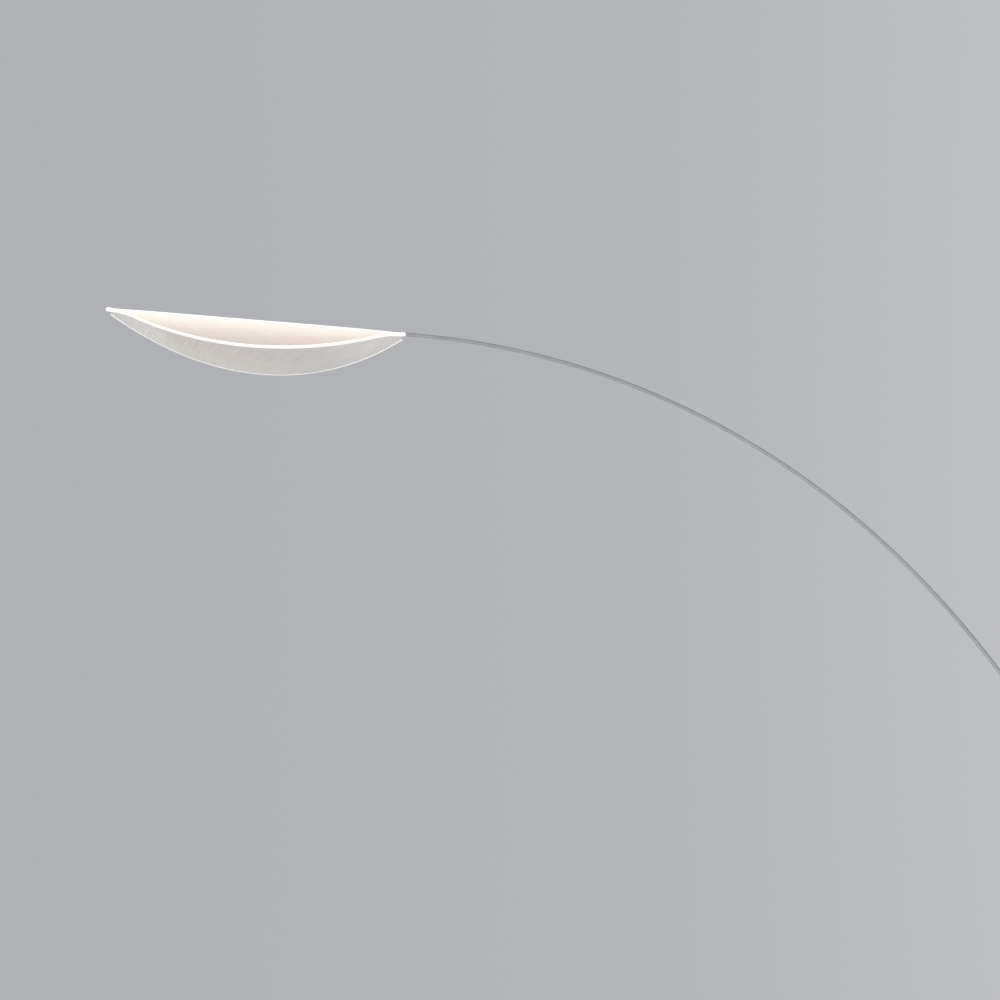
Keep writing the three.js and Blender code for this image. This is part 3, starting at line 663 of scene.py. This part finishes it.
def radius_of_gland():
    """Radius of the gland's neck, between its lips."""
    points = node_points("inlet_gland")
    neck = points[np.abs(points[:, 0] - (COVER_RADIUS - 0.5 * MM)) < 3.5 * MM]
    reach = np.hypot(neck[:, 1], neck[:, 2] - GLAND_HEIGHT)
    return float(np.sort(np.unique(np.round(reach, 5)))[1])


def gland():
    low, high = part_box("inlet_gland")
    neck = radius_of_gland()
    bore = neck - 2 * MM
    lip = (high.z - low.z) / 2
    inside = low.x + 1.4 * MM
    outside = high.x - 4 * MM
    outline = fillet([
        (bore, low.x), (lip, low.x), (lip, inside), (neck, inside), (neck, outside), (lip, outside),
        (lip - 0.4 * MM, outside + 2 * MM), (neck - 0.6 * MM, high.x), (bore, high.x),
    ], [0.3 * MM, 0.5 * MM, 0.3 * MM, 0, 0, 0.4 * MM, 0.8 * MM, 0.5 * MM, 0.5 * MM], 4)
    place = place_along((0, 0, GLAND_HEIGHT), (1, 0, 0))
    finish_piece(turned_skin("gland_skin", outline, place, 48), "base", "rubber", "inlet_gland")


def radius_of_button():
    """Radius of the button's round side, below its rounded rim."""
    return radius_at("dimmer_button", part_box("dimmer_button")[1].z - 3 * MM)


def button():
    low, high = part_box("dimmer_button")
    radius = radius_of_button()
    flange = half_width("dimmer_button")
    flange_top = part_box("base_cover")[1].z - COVER_WALL - PLAY
    flange_low = flange_top - BUTTON_FLANGE
    outline = [(0, low.z), (BUTTON_STUB - 0.3 * MM, low.z), (BUTTON_STUB, low.z + 0.3 * MM)]
    outline.append((BUTTON_STUB, flange_low))
    outline += fillet([
        (flange, flange_low), (flange, flange_top), (radius, flange_top),
        (radius, high.z), (radius - 4 * MM, high.z), (0, high.z - 1.2 * MM), (0, flange_low),
    ], [0.3 * MM, 0.3 * MM, 0.2 * MM, 1.4 * MM, 0.8 * MM, 0, 0], 5)[:-1]
    centre = outline.pop()
    rim = outline[-1]
    for start in BUTTON_GROOVES:
        for share, drop in ((start, 0.0), (start - 0.02, 0.35), (start - 0.07, 0.35), (start - 0.09, 0.0)):
            dish = rim[0] * share
            level = centre[1] + (rim[1] - centre[1]) * share
            outline.append((dish, level - drop * MM))
    outline.append(centre)
    place = upright_at(middle("dimmer_button").x)
    skin = turned_skin("button_skin", outline, place, 96)
    finish_piece(skin, "dimmer", "dark_steel", "dimmer_button", TURNED_DARK)


def spring():
    """The return spring under the button. Its end coils lie closer than its middle ones."""
    low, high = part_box("dimmer_spring")
    centre = middle("dimmer_spring")
    points = node_points("dimmer_spring")
    reach = np.hypot(points[:, 0] - centre.x, points[:, 1] - centre.y)
    wire = (reach.max() - reach.min()) / 2
    coil = (reach.max() + reach.min()) / 2
    foot_level = low.z + wire
    climb = high.z - low.z - 2 * wire
    steps = SPRING_TURNS * SPRING_STEPS
    turns = [2 * math.pi * k / WIRE_SIDES for k in range(WIRE_SIDES)]
    rings = []
    for i in range(steps + 1):
        share = i / steps
        angle = 2 * math.pi * SPRING_TURNS * share
        outward = Vector((math.cos(angle), math.sin(angle), 0))
        height = foot_level + climb * (share - 0.06 * math.sin(2 * math.pi * share))
        spot = Vector((centre.x, centre.y, height)) + outward * coil
        rings.append([spot + (outward * math.cos(a) + Vector((0, 0, 1)) * math.sin(a)) * wire for a in turns])
    lengths = [2 * math.pi * coil * SPRING_TURNS * i / steps for i in range(steps + 1)]
    around = [2 * math.pi * wire * k / WIRE_SIDES for k in range(WIRE_SIDES + 1)]
    piece = ring_skin("spring_skin", rings, lengths, around, SKIN_CREASE)
    finish_piece(piece, "base", "satin_steel", "dimmer_spring", DRAWN_STEEL)
    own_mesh(piece)


def socket():
    low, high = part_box("base_socket")
    flange = half_width("base_socket")
    bore = inner_radius_at("base_socket", high.z)
    neck = radius_at("base_socket", high.z - 1 * MM)
    face = low.z + SOCKET_FLANGE
    outline = fillet([
        (bore, low.z), (flange, low.z), (flange, face), (neck, face), (neck, high.z), (bore, high.z),
    ], [0, 0.3 * MM, 1 * MM, 8 * MM, 1 * MM, 0.4 * MM], 10)
    skin = turned_skin("socket_skin", outline, segments=128)
    holes = screw_cutters(low.z - 1 * MM, low.z + SCREW_HEAD)
    finish_piece(cut_with(skin, holes), "base", "satin_steel", "base_socket", TURNED_STEEL)

    low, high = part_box("thrust_washer")
    radius = half_width("thrust_washer")
    bore = inner_radius_at("thrust_washer", high.z)
    outline = fillet([(bore, low.z), (radius, low.z), (radius, high.z), (bore, high.z)], [0.3 * MM] * 4, 4)
    finish_piece(turned_skin("thrust_skin", outline), "base", "white_plastic", "thrust_washer")


def sideways_at(node):
    """A place at the height of a grub screw whose Z axis points out of the stem on the screw's side."""
    centre = middle(node)
    side = 1 if centre.y > 0 else -1
    return Matrix(((0, 1, 0, centre.x), (0, 0, side, 0), (side, 0, 0, centre.z), (0, 0, 0, 1)))


def side_hole(piece, node):
    """Cuts the clearance hole of a grub screw, which comes in square to the stem from one side."""
    return cut_with(piece, [rod_cutter(half_width(node) + PLAY, 2 * MM, 30 * MM, sideways_at(node))])


def grub_skin(name, node):
    """A grub screw with rounded rims and a hexagon recess."""
    radius = half_width(node)
    inner, outer = sorted(abs(corner.y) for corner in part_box(node))
    turn = sideways_at(node)
    corners = [(0, inner), (radius, inner), (radius, outer), (0, outer)]
    outline = fillet(corners, [0, 0.3 * MM, 0.3 * MM, 0], 3)
    recess = rod_cutter(radius * 0.58, outer - 1.5 * MM, outer + 1 * MM, turn, 6)
    screw = cut_with(turned_skin(name, outline, turn, 32), [recess])
    finish_piece(screw, "stem", "dark_steel", node)


def foot():
    low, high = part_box("stem_foot")
    collar_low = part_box("thrust_washer")[1].z + PLAY
    collar_high = collar_low + FOOT_COLLAR
    widest = half_width("stem_foot")
    shank = radius_at("stem_foot", low.z)
    lead_bore = inner_radius_at("stem_foot", low.z)
    bore = inner_radius_at("stem_foot", high.z)
    tip = bore + 1.8 * MM
    outline = fillet([
        (lead_bore, low.z), (shank, low.z), (shank, collar_low), (widest, collar_low), (widest, collar_high),
        (tip, high.z), (bore, high.z), (bore, STEM_SEAT), (lead_bore, STEM_SEAT),
    ], [0.4 * MM, 0.6 * MM, 0, 0.5 * MM, 1.2 * MM, 0.8 * MM, 0.3 * MM, 0, 0], 6)
    skin = side_hole(turned_skin("foot_skin", outline, segments=128), "foot_grub_screw")
    finish_piece(skin, "stem", "satin_steel", "stem_foot", TURNED_STEEL)
    grub_skin("foot_grub_skin", "foot_grub_screw")


# -- stem

UPPER_BORE = 3 * MM
LOWER_BORE = 4.25 * MM
TUBE_SIDES = 40
COLLAR_DOWN = 20 * MM
COLLAR_SHOULDER = 8 * MM
COLLAR_UP = 14 * MM
COLLAR_WALL = 2.4 * MM


def tube_line(name):
    """Centreline of a CAD tube that lies in the plane of the stem, from the vertices on its flank, and its
    radius."""
    points = node_points(name)
    widest = points[:, 1].max()
    flank = points[np.abs(points[:, 1] - widest) < 0.02 * MM]
    flank = flank[np.argsort(flank[:, 2])]
    kept = [flank[0]]
    for point in flank[1:]:
        if np.linalg.norm(point - kept[-1]) > 1 * MM:
            kept.append(point)
    return np.array(kept)[:, [0, 2]], float(widest)


def tube(name, node, bore, count):
    """A round tube along a CAD tube's centreline, with eased ends."""
    line, radius = tube_line(node)
    curve, at = smooth_line(line, count)
    tangent = np.gradient(curve, at, axis=0)
    tangent /= np.linalg.norm(tangent, axis=1)[:, None]
    ease = 0.35 * MM
    last = count - 1
    stations = [(0, bore, 0.0), (0, radius - ease, 0.0), (0, radius, ease)]
    stations += [(i, radius, 0.0) for i in range(1, last)]
    stations += [(last, radius, -ease), (last, radius - ease, 0.0), (last, bore, 0.0)]
    stations += [(i, bore, 0.0) for i in range(last - 1, 0, -4)]
    rings = []
    lengths = []
    run = 0.0
    before = None
    for i, ring_radius, shift in stations:
        along = Vector((tangent[i][0], 0, tangent[i][1]))
        across = Vector((-along.z, 0, along.x))
        centre = Vector((curve[i][0], 0, curve[i][1])) + along * shift
        ring = []
        for k in range(TUBE_SIDES):
            angle = 2 * math.pi * k / TUBE_SIDES
            offset = across * math.cos(angle) + Vector((0, 1, 0)) * math.sin(angle)
            ring.append(centre + offset * ring_radius)
        run += (ring[0] - before).length if before is not None else 0.0
        before = ring[0]
        rings.append(ring)
        lengths.append(run)
    around = [2 * math.pi * radius * k / TUBE_SIDES for k in range(TUBE_SIDES + 1)]
    return ring_skin(name, rings, lengths, around, SKIN_CREASE, hoop=True)


def collar():
    line, radius = tube_line("lower_stem")
    slim_radius = tube_line("upper_stem")[1]
    points = node_points("lower_stem")
    end = Vector((line[-1][0], 0, line[-1][1]))
    ring = points[np.linalg.norm(points - np.array(end), axis=1) < radius * 1.2]
    centre = ring.mean(axis=0)
    axis = np.linalg.svd(ring - centre)[2][2]
    axis *= np.sign(axis[2])
    place = place_along(end, axis)
    wide = radius + PLAY
    narrow = slim_radius + PLAY
    outer = wide + COLLAR_WALL
    outline = fillet([
        (wide, -COLLAR_DOWN), (outer, -COLLAR_DOWN), (outer, COLLAR_SHOULDER), (narrow + 1.2 * MM, COLLAR_UP),
        (narrow, COLLAR_UP), (narrow, PLAY), (wide, PLAY),
    ], [0.3 * MM, 1 * MM, 2.5 * MM, 0.5 * MM, 0.2 * MM, 0, 0], 6)
    skin = side_hole(turned_skin("collar_skin", outline, place, 96), "collar_grub_screw")
    finish_piece(skin, "stem", "satin_steel", "joint_collar", TURNED_STEEL)
    grub_skin("collar_grub_skin", "collar_grub_screw")


def stem():
    slim = tube("stem_upper", "upper_stem", UPPER_BORE, 260)
    finish_piece(slim, "stem", "satin_steel", "upper_stem", DRAWN_STEEL)
    stout = tube("stem_lower", "lower_stem", LOWER_BORE, 120)
    finish_piece(stout, "stem", "satin_steel", "lower_stem", DRAWN_STEEL)


# -- head

def radius_of_spine():
    return float(head_points("tip_cap")[:, 1].max())


def ruled_edges(name):
    """A CAD wing's inner edge and rim, each as the middles of the sheet's stations in the head's frame, with
    the sheet's thickness and the side that it is on."""
    points = head_points(name)
    side = 1 if points[:, 1].mean() > 0 else -1
    reach = points[:, 1] * side
    inner = points[reach < reach.min() + 0.02 * MM]
    rim = points[reach > 8 * MM]
    edges = []
    for group in (inner, rim):
        ordered = group[np.argsort(group[:, 0])]
        edges.append(ordered.reshape(-1, 2, 3).mean(axis=1))
        pair = ordered[len(ordered) // 4 * 2:][:2]
    thickness = float(np.linalg.norm(pair[0] - pair[1]))
    return edges[0], edges[1], thickness, side


def normals_of(line):
    """Unit normals, upward, of a line in the head's plane."""
    tangent = np.gradient(line[:, [0, 2]], axis=0)
    tangent /= np.linalg.norm(tangent, axis=1)[:, None]
    return np.stack([-tangent[:, 1], np.zeros(len(line)), tangent[:, 0]], axis=1)


SPINE_STATIONS = 220
WING_STATIONS = 200
TOOTH_PITCH = 2.0 * MM
TOOTH_DEPTH = 0.9 * MM
TOOTH_LIT = 0.55 * MM
RIM_STEPS = 8
VEIN_FAN = 1.5
TOP, HAZE, RIM, GLOW = range(4)


def wing(name, node):
    """A wing as a closed sheet: clear on top, a rounded rim, and underneath fine teeth parallel to the spine,
    each with a lit face that looks out and down and a long clear face."""
    inner, rim, thickness, side = ruled_edges(node)
    inner, _ = smooth_line(inner, WING_STATIONS)
    rim, at = smooth_line(rim, WING_STATIONS)
    inner_up = normals_of(inner)
    rim_up = normals_of(rim)
    half = thickness / 2
    flat_to = radius_of_spine() + 1 * MM
    teeth = int((np.abs(rim[:, 1]).max() - flat_to - half) / TOOTH_PITCH)
    rings = []
    reaches = []
    for i in range(WING_STATIONS):
        edge = inner[i].copy()
        edge[1] = side * flat_to
        width = float(np.linalg.norm(rim[i] - edge))
        outward = (rim[i] - edge) / width
        lit = width - half

        def sheet(reach, lift):
            up = inner_up[i] + (rim_up[i] - inner_up[i]) * (reach / width)
            return edge + outward * reach + up * lift

        section = [(inner[i] + inner_up[i] * half, -half), (sheet(0, half), 0.0)]
        section += [(sheet(lit * 0.5, half), lit * 0.5), (sheet(lit, half), lit)]
        for k in range(1, RIM_STEPS):
            angle = math.pi / 2 - math.pi * k / RIM_STEPS
            section.append((sheet(lit + half * math.cos(angle), half * math.sin(angle)), width))
        section.append((sheet(lit, -half), lit))
        step = lit / teeth
        squeeze = step / TOOTH_PITCH
        for k in range(1, teeth + 1):
            inside = lit - k * step
            section.append((sheet(inside + TOOTH_LIT * squeeze, TOOTH_DEPTH * squeeze - half), inside))
            section.append((sheet(inside, -half), inside))
        section.append((inner[i] - inner_up[i] * half, -half))
        rings.append([HEAD_TO_WORLD @ Vector(point) for point, _ in section])
        reaches.append([(reach, width) for _, reach in section])
    size = len(rings[0])
    slots = [TOP] * 3 + [TOP if k < 2 else RIM for k in range(RIM_STEPS)]
    slots += [HAZE, GLOW] * teeth + [RIM, RIM]
    corners = []
    faces = []
    face_slots = []
    for i in range(WING_STATIONS - 1):
        for j in range(size):
            k = (j + 1) % size
            faces.append((i * size + j, i * size + k, (i + 1) * size + k, (i + 1) * size + j))
            corners += [(i, j), (i, k), (i + 1, k), (i + 1, j)]
            face_slots.append(slots[j])
    for i, ring in ((0, range(size - 1, -1, -1)), (WING_STATIONS - 1, range(size))):
        faces.append(tuple(i * size + j for j in ring))
        corners += [(i, j) for j in ring]
        face_slots.append(TOP)
    vertices = [point for ring in rings for point in ring]
    uvs = [(reaches[i][j][1] - reaches[i][j][0], at[i]) for i, j in corners]
    piece = mesh_from(name, vertices, faces, uvs, WING_CREASE, face_slots)
    run = at[-1]
    veins_map = piece.data.uv_layers.new(name="Veins")
    fanned = [(at[i] / (1 - VEIN_FAN * max(reaches[i][j][0], 0) / run), reaches[i][j][0]) for i, j in corners]
    veins_map.data.foreach_set("uv", np.array(fanned, np.float32).ravel())
    piece.data.uv_layers["UVMap"].active_render = True
    face_outward(piece)
    for material in (WING_TOP, WING_HAZE, WING_RIM, WING_GLOW):
        piece.data.materials.append(material)
    finish_piece(piece, "head", "clear_acrylic", node)


def along_spine(name, section):
    """A skin with the same section all along the spine. The section is a loop of (across, up) points."""
    line = ruled_edges("wing_front")[0].copy()
    line[:, 1] = 0
    curve, at = smooth_line(line, SPINE_STATIONS)
    up = normals_of(curve)
    rings = []
    for i in range(SPINE_STATIONS):
        ring = []
        for across, lift in section:
            point = curve[i] + up[i] * lift + np.array([0, across, 0])
            ring.append(HEAD_TO_WORLD @ Vector(point))
        rings.append(ring)
    around = [0.0]
    for j in range(len(section)):
        a, b = Vector(section[j]), Vector(section[(j + 1) % len(section)])
        around.append(around[-1] + (b - a).length)
    return ring_skin(name, rings, at, around, SPINE_CREASE)


def arc_points(radius, start, finish, steps):
    angles = [start + (finish - start) * k / steps for k in range(steps + 1)]
    return [(radius * math.cos(angle), radius * math.sin(angle)) for angle in angles]


def dowel_places():
    """Middle and upward direction of each dowel that holds the wings."""
    places = []
    for name in frame["nodes"]:
        if name.startswith("wing_pin"):
            points = node_points(name)
            centre = points.mean(axis=0)
            axis = np.linalg.svd(points - centre)[2][0]
            places.append((Vector(centre), Vector(axis) * math.copysign(1, axis[2])))
    return places


def spine():
    radius = radius_of_spine()
    thickness = ruled_edges("wing_front")[2]
    slot_half = thickness / 2 + PLAY
    slot_angle = math.asin(slot_half / radius)
    rib = 1 * MM
    low = arc_points(radius, math.pi + slot_angle, 2 * math.pi - slot_angle, 16)
    finish_piece(along_spine("spine_glow", low), "head", "opal_acrylic", "spine_diffuser")
    high = arc_points(radius, slot_angle, math.pi - slot_angle, 18)
    high += [(-rib, slot_half), (-rib, -slot_half + PLAY), (rib, -slot_half + PLAY), (rib, slot_half)]
    bar = along_spine("spine_back", high)
    holes = [
        rod_cutter(0.85 * MM, -3 * MM, 5 * MM, place_along(centre, up), 20)
        for centre, up in dowel_places()
    ]
    finish_piece(cut_with(bar, holes), "head", "aluminium", "spine_bar")


CHIP_STATIONS = 600
CHIP_BLOCKS = ((1.4, 0.75, 0.0, 0.35), (1.0, 0.5, 0.35, 0.45))
CHIP_BEVEL = 0.1
BOX_FACES = ((0, 1, 2, 3), (4, 5, 6, 7), (0, 1, 5, 4), (1, 2, 6, 5), (2, 3, 7, 6), (3, 0, 4, 7))


def light_chips(name, node, side):
    """The row of light chips on a strip: small tapered blocks, each with a lens. A block is given in
    millimetres, as its half length, its half height and where it starts and ends across the strip."""
    strip = head_points(node)
    face = float((strip[:, 1] * side).max())
    line = ruled_edges("wing_front")[0].copy()
    line[:, 1] = 0
    curve, at = smooth_line(line, CHIP_STATIONS)
    up = normals_of(curve)
    work = bmesh.new()
    for c in range(int(at[-1] / CHIP_PITCH)):
        i = int(np.searchsorted(at, (c + 0.5) * CHIP_PITCH))
        lift = Vector(up[i])
        along = Vector((lift.z, 0, -lift.x))
        for half_along, half_up, start, finish in CHIP_BLOCKS:
            corners = []
            for out in (start, finish):
                shrink = CHIP_BEVEL if out == finish else 0.0
                for u, w in ((-1, -1), (1, -1), (1, 1), (-1, 1)):
                    spot = Vector(curve[i]) + along * (u * (half_along - shrink) * MM)
                    spot += lift * (w * (half_up - shrink) * MM)
                    spot.y = side * (face + out * MM)
                    corners.append(work.verts.new(HEAD_TO_WORLD @ spot))
            for box_face in BOX_FACES:
                work.faces.new([corners[k] for k in box_face])
    bmesh.ops.recalc_face_normals(work, faces=work.faces)
    mesh = bpy.data.meshes.new(name)
    work.to_mesh(mesh)
    work.free()
    finish_piece(link(name, mesh), "head", "opal_acrylic", None, OPAL_END)


def head_place(x):
    """A place on the head's chord whose Z axis points at the tip."""
    turn = Matrix(((0, 0, -1, x), (0, 1, 0, 0), (1, 0, 0, 0), (0, 0, 0, 1)))
    return HEAD_TO_WORLD @ turn


HUB_TAPER = 7 * MM
HUB_WALL = 1.15 * MM
HUB_POCKET = 2.5 * MM


def span_along(points):
    """Where points in the head's frame start, nearest the stem, and how far they reach toward the tip."""
    near = float(points[:, 0].max())
    return near, near - float(points[:, 0].min())


def head_ends():
    tip = head_points("tip_cap")
    radius = radius_of_spine()
    edge = 0.3 * MM
    near, length = span_along(tip)
    outline = [(0, 0), (radius - edge, 0), (radius, edge)]
    outline += [(r, length - radius + h) for r, h in arc_points(radius, 0, math.pi / 2, 12)[:-1]]
    outline += [(0, length)]
    skin = turned_skin("tip_glow", outline, head_place(near), 48)
    finish_piece(skin, "head", "opal_acrylic", "tip_cap", OPAL_END)

    hub = head_points("hub_collar")
    near, length = span_along(hub)
    bore = float(np.hypot(hub[:, 1], hub[:, 2]).min())
    flange = radius - HUB_WALL
    seat = length - HUB_POCKET
    nose = float(head_points("roll_washer")[:, 1].max())
    outline = fillet([
        (bore, 0), (nose, 0), (radius, HUB_TAPER), (radius, length), (flange, length), (flange, seat),
        (bore, seat),
    ], [0.2 * MM, 0.5 * MM, 4 * MM, 0.2 * MM, 0, 0, 0], 8)
    skin = turned_skin("hub_glow", outline, head_place(near), 48)
    finish_piece(skin, "head", "opal_acrylic", "hub_collar", OPAL_END)

    washer = head_points("roll_washer")
    near, length = span_along(washer)
    bore = float(np.hypot(washer[:, 1], washer[:, 2]).min())
    outer = float(washer[:, 1].max())
    outline = fillet([(bore, 0), (outer, 0), (outer, length), (bore, length)], [0.15 * MM] * 4, 3)
    skin = turned_skin("roll_washer_skin", outline, head_place(near), 48)
    finish_piece(skin, "head", "white_plastic", "roll_washer")


def dress_solids():
    """Gives every CAD node its slot's material. The clear wings have none, but pieces stand in for them."""
    slots = {row["node"]: row["material_slot"] for row in frame["record"]["subparts"]}
    for node, solid in frame["nodes"].items():
        solid.data.materials.clear()
        solid.data.materials.append(MATERIALS.get(slots[node]) or OPAL_END)


dress_solids()
base()
gland()
button()
spring()
socket()
foot()
stem()
collar()
wing("wing_front_sheet", "wing_front")
wing("wing_back_sheet", "wing_back")
spine()
light_chips("chips_front", "led_strip_front", -1)
light_chips("chips_back", "led_strip_back", 1)
head_ends()


# ---------------------------------------------------------------- stage, light and camera

FLOOR_RADIUS = 40
FLOOR_DEPTH = 0.02
SURROUND = (
    (0.34, (0.425, 0.436, 0.457)),
    (0.5, (0.447, 0.456, 0.476)),
    (0.57, (0.475, 0.483, 0.504)),
    (0.66, (0.52, 0.527, 0.552)),
)
OVERHEAD = {"From Min": 0.72, "From Max": 0.88, "To Min": 1.0, "To Max": 0.6}
LIGHT_SPREAD = math.radians(140)
SENSOR_WIDTH = 36.0
FOCAL_LENGTH = 50.2
EYE = (-1.1145, -2.7307, 0.374)
LOOK_UP = math.radians(23.91)
TURN_LEFT = math.radians(2.549)


def stage():
    """A pale floor, and a plain pale surround that is a little lighter to the right and dimmer overhead."""
    section = [(0, 0), (FLOOR_RADIUS, 0), (FLOOR_RADIUS, -FLOOR_DEPTH), (0, -FLOOR_DEPTH)]
    ground = turned_skin("studio_floor", section)
    ground.data.materials.append(coated(
        "studio_floor", (0.93, 0.935, 0.945), 0.75, pebble=60.0, relief=0.01, patch=0.01, tint=0.006))
    world = bpy.data.worlds.new("studio")
    bpy.context.scene.world = world
    bpy.context.scene.view_settings.view_transform = "Standard"
    world.use_nodes = True
    tree = world.node_tree
    background = tree.nodes["Background"]
    source = tree.nodes.new("ShaderNodeTexCoord")
    split = tree.nodes.new("ShaderNodeSeparateXYZ")
    tree.links.new(source.outputs["Generated"], split.inputs["Vector"])
    across = tree.nodes.new("ShaderNodeValToRGB")
    set_stops(across.color_ramp.elements, SURROUND)
    shift = tree.nodes.new("ShaderNodeMapRange")
    shift.inputs["From Min"].default_value = -1
    tree.links.new(split.outputs["X"], shift.inputs["Value"])
    tree.links.new(shift.outputs["Result"], across.inputs["Fac"])
    tree.links.new(across.outputs["Color"], background.inputs["Color"])
    overhead = tree.nodes.new("ShaderNodeMapRange")
    for key, value in OVERHEAD.items():
        overhead.inputs[key].default_value = value
    tree.links.new(split.outputs["Z"], overhead.inputs["Value"])
    tree.links.new(overhead.outputs["Result"], background.inputs["Strength"])


def area_light(name, place, aim, size, power):
    data = bpy.data.lights.new(name, "AREA")
    data.energy = power
    data.size = size
    data.spread = LIGHT_SPREAD
    light = bpy.data.objects.new(name, data)
    bpy.context.scene.collection.objects.link(light)
    light.location = place
    light.rotation_euler = (Vector(aim) - Vector(place)).to_track_quat("-Z", "Y").to_euler()


def camera():
    data = bpy.data.cameras.new("camera")
    data.sensor_width = SENSOR_WIDTH
    data.lens = FOCAL_LENGTH
    view = bpy.data.objects.new("camera", data)
    bpy.context.scene.collection.objects.link(view)
    view.location = EYE
    view.rotation_euler = (math.pi / 2 + LOOK_UP, 0, TURN_LEFT)
    bpy.context.scene.camera = view


stage()
area_light("key", (-4.4, -2.6, 2.1), (-0.8, 0, 0.9), size=3.2, power=34)
area_light("floor_wash", (-3.6, 1.2, 3.4), (-2.0, 0.2, 0.0), size=3.0, power=14)
camera()
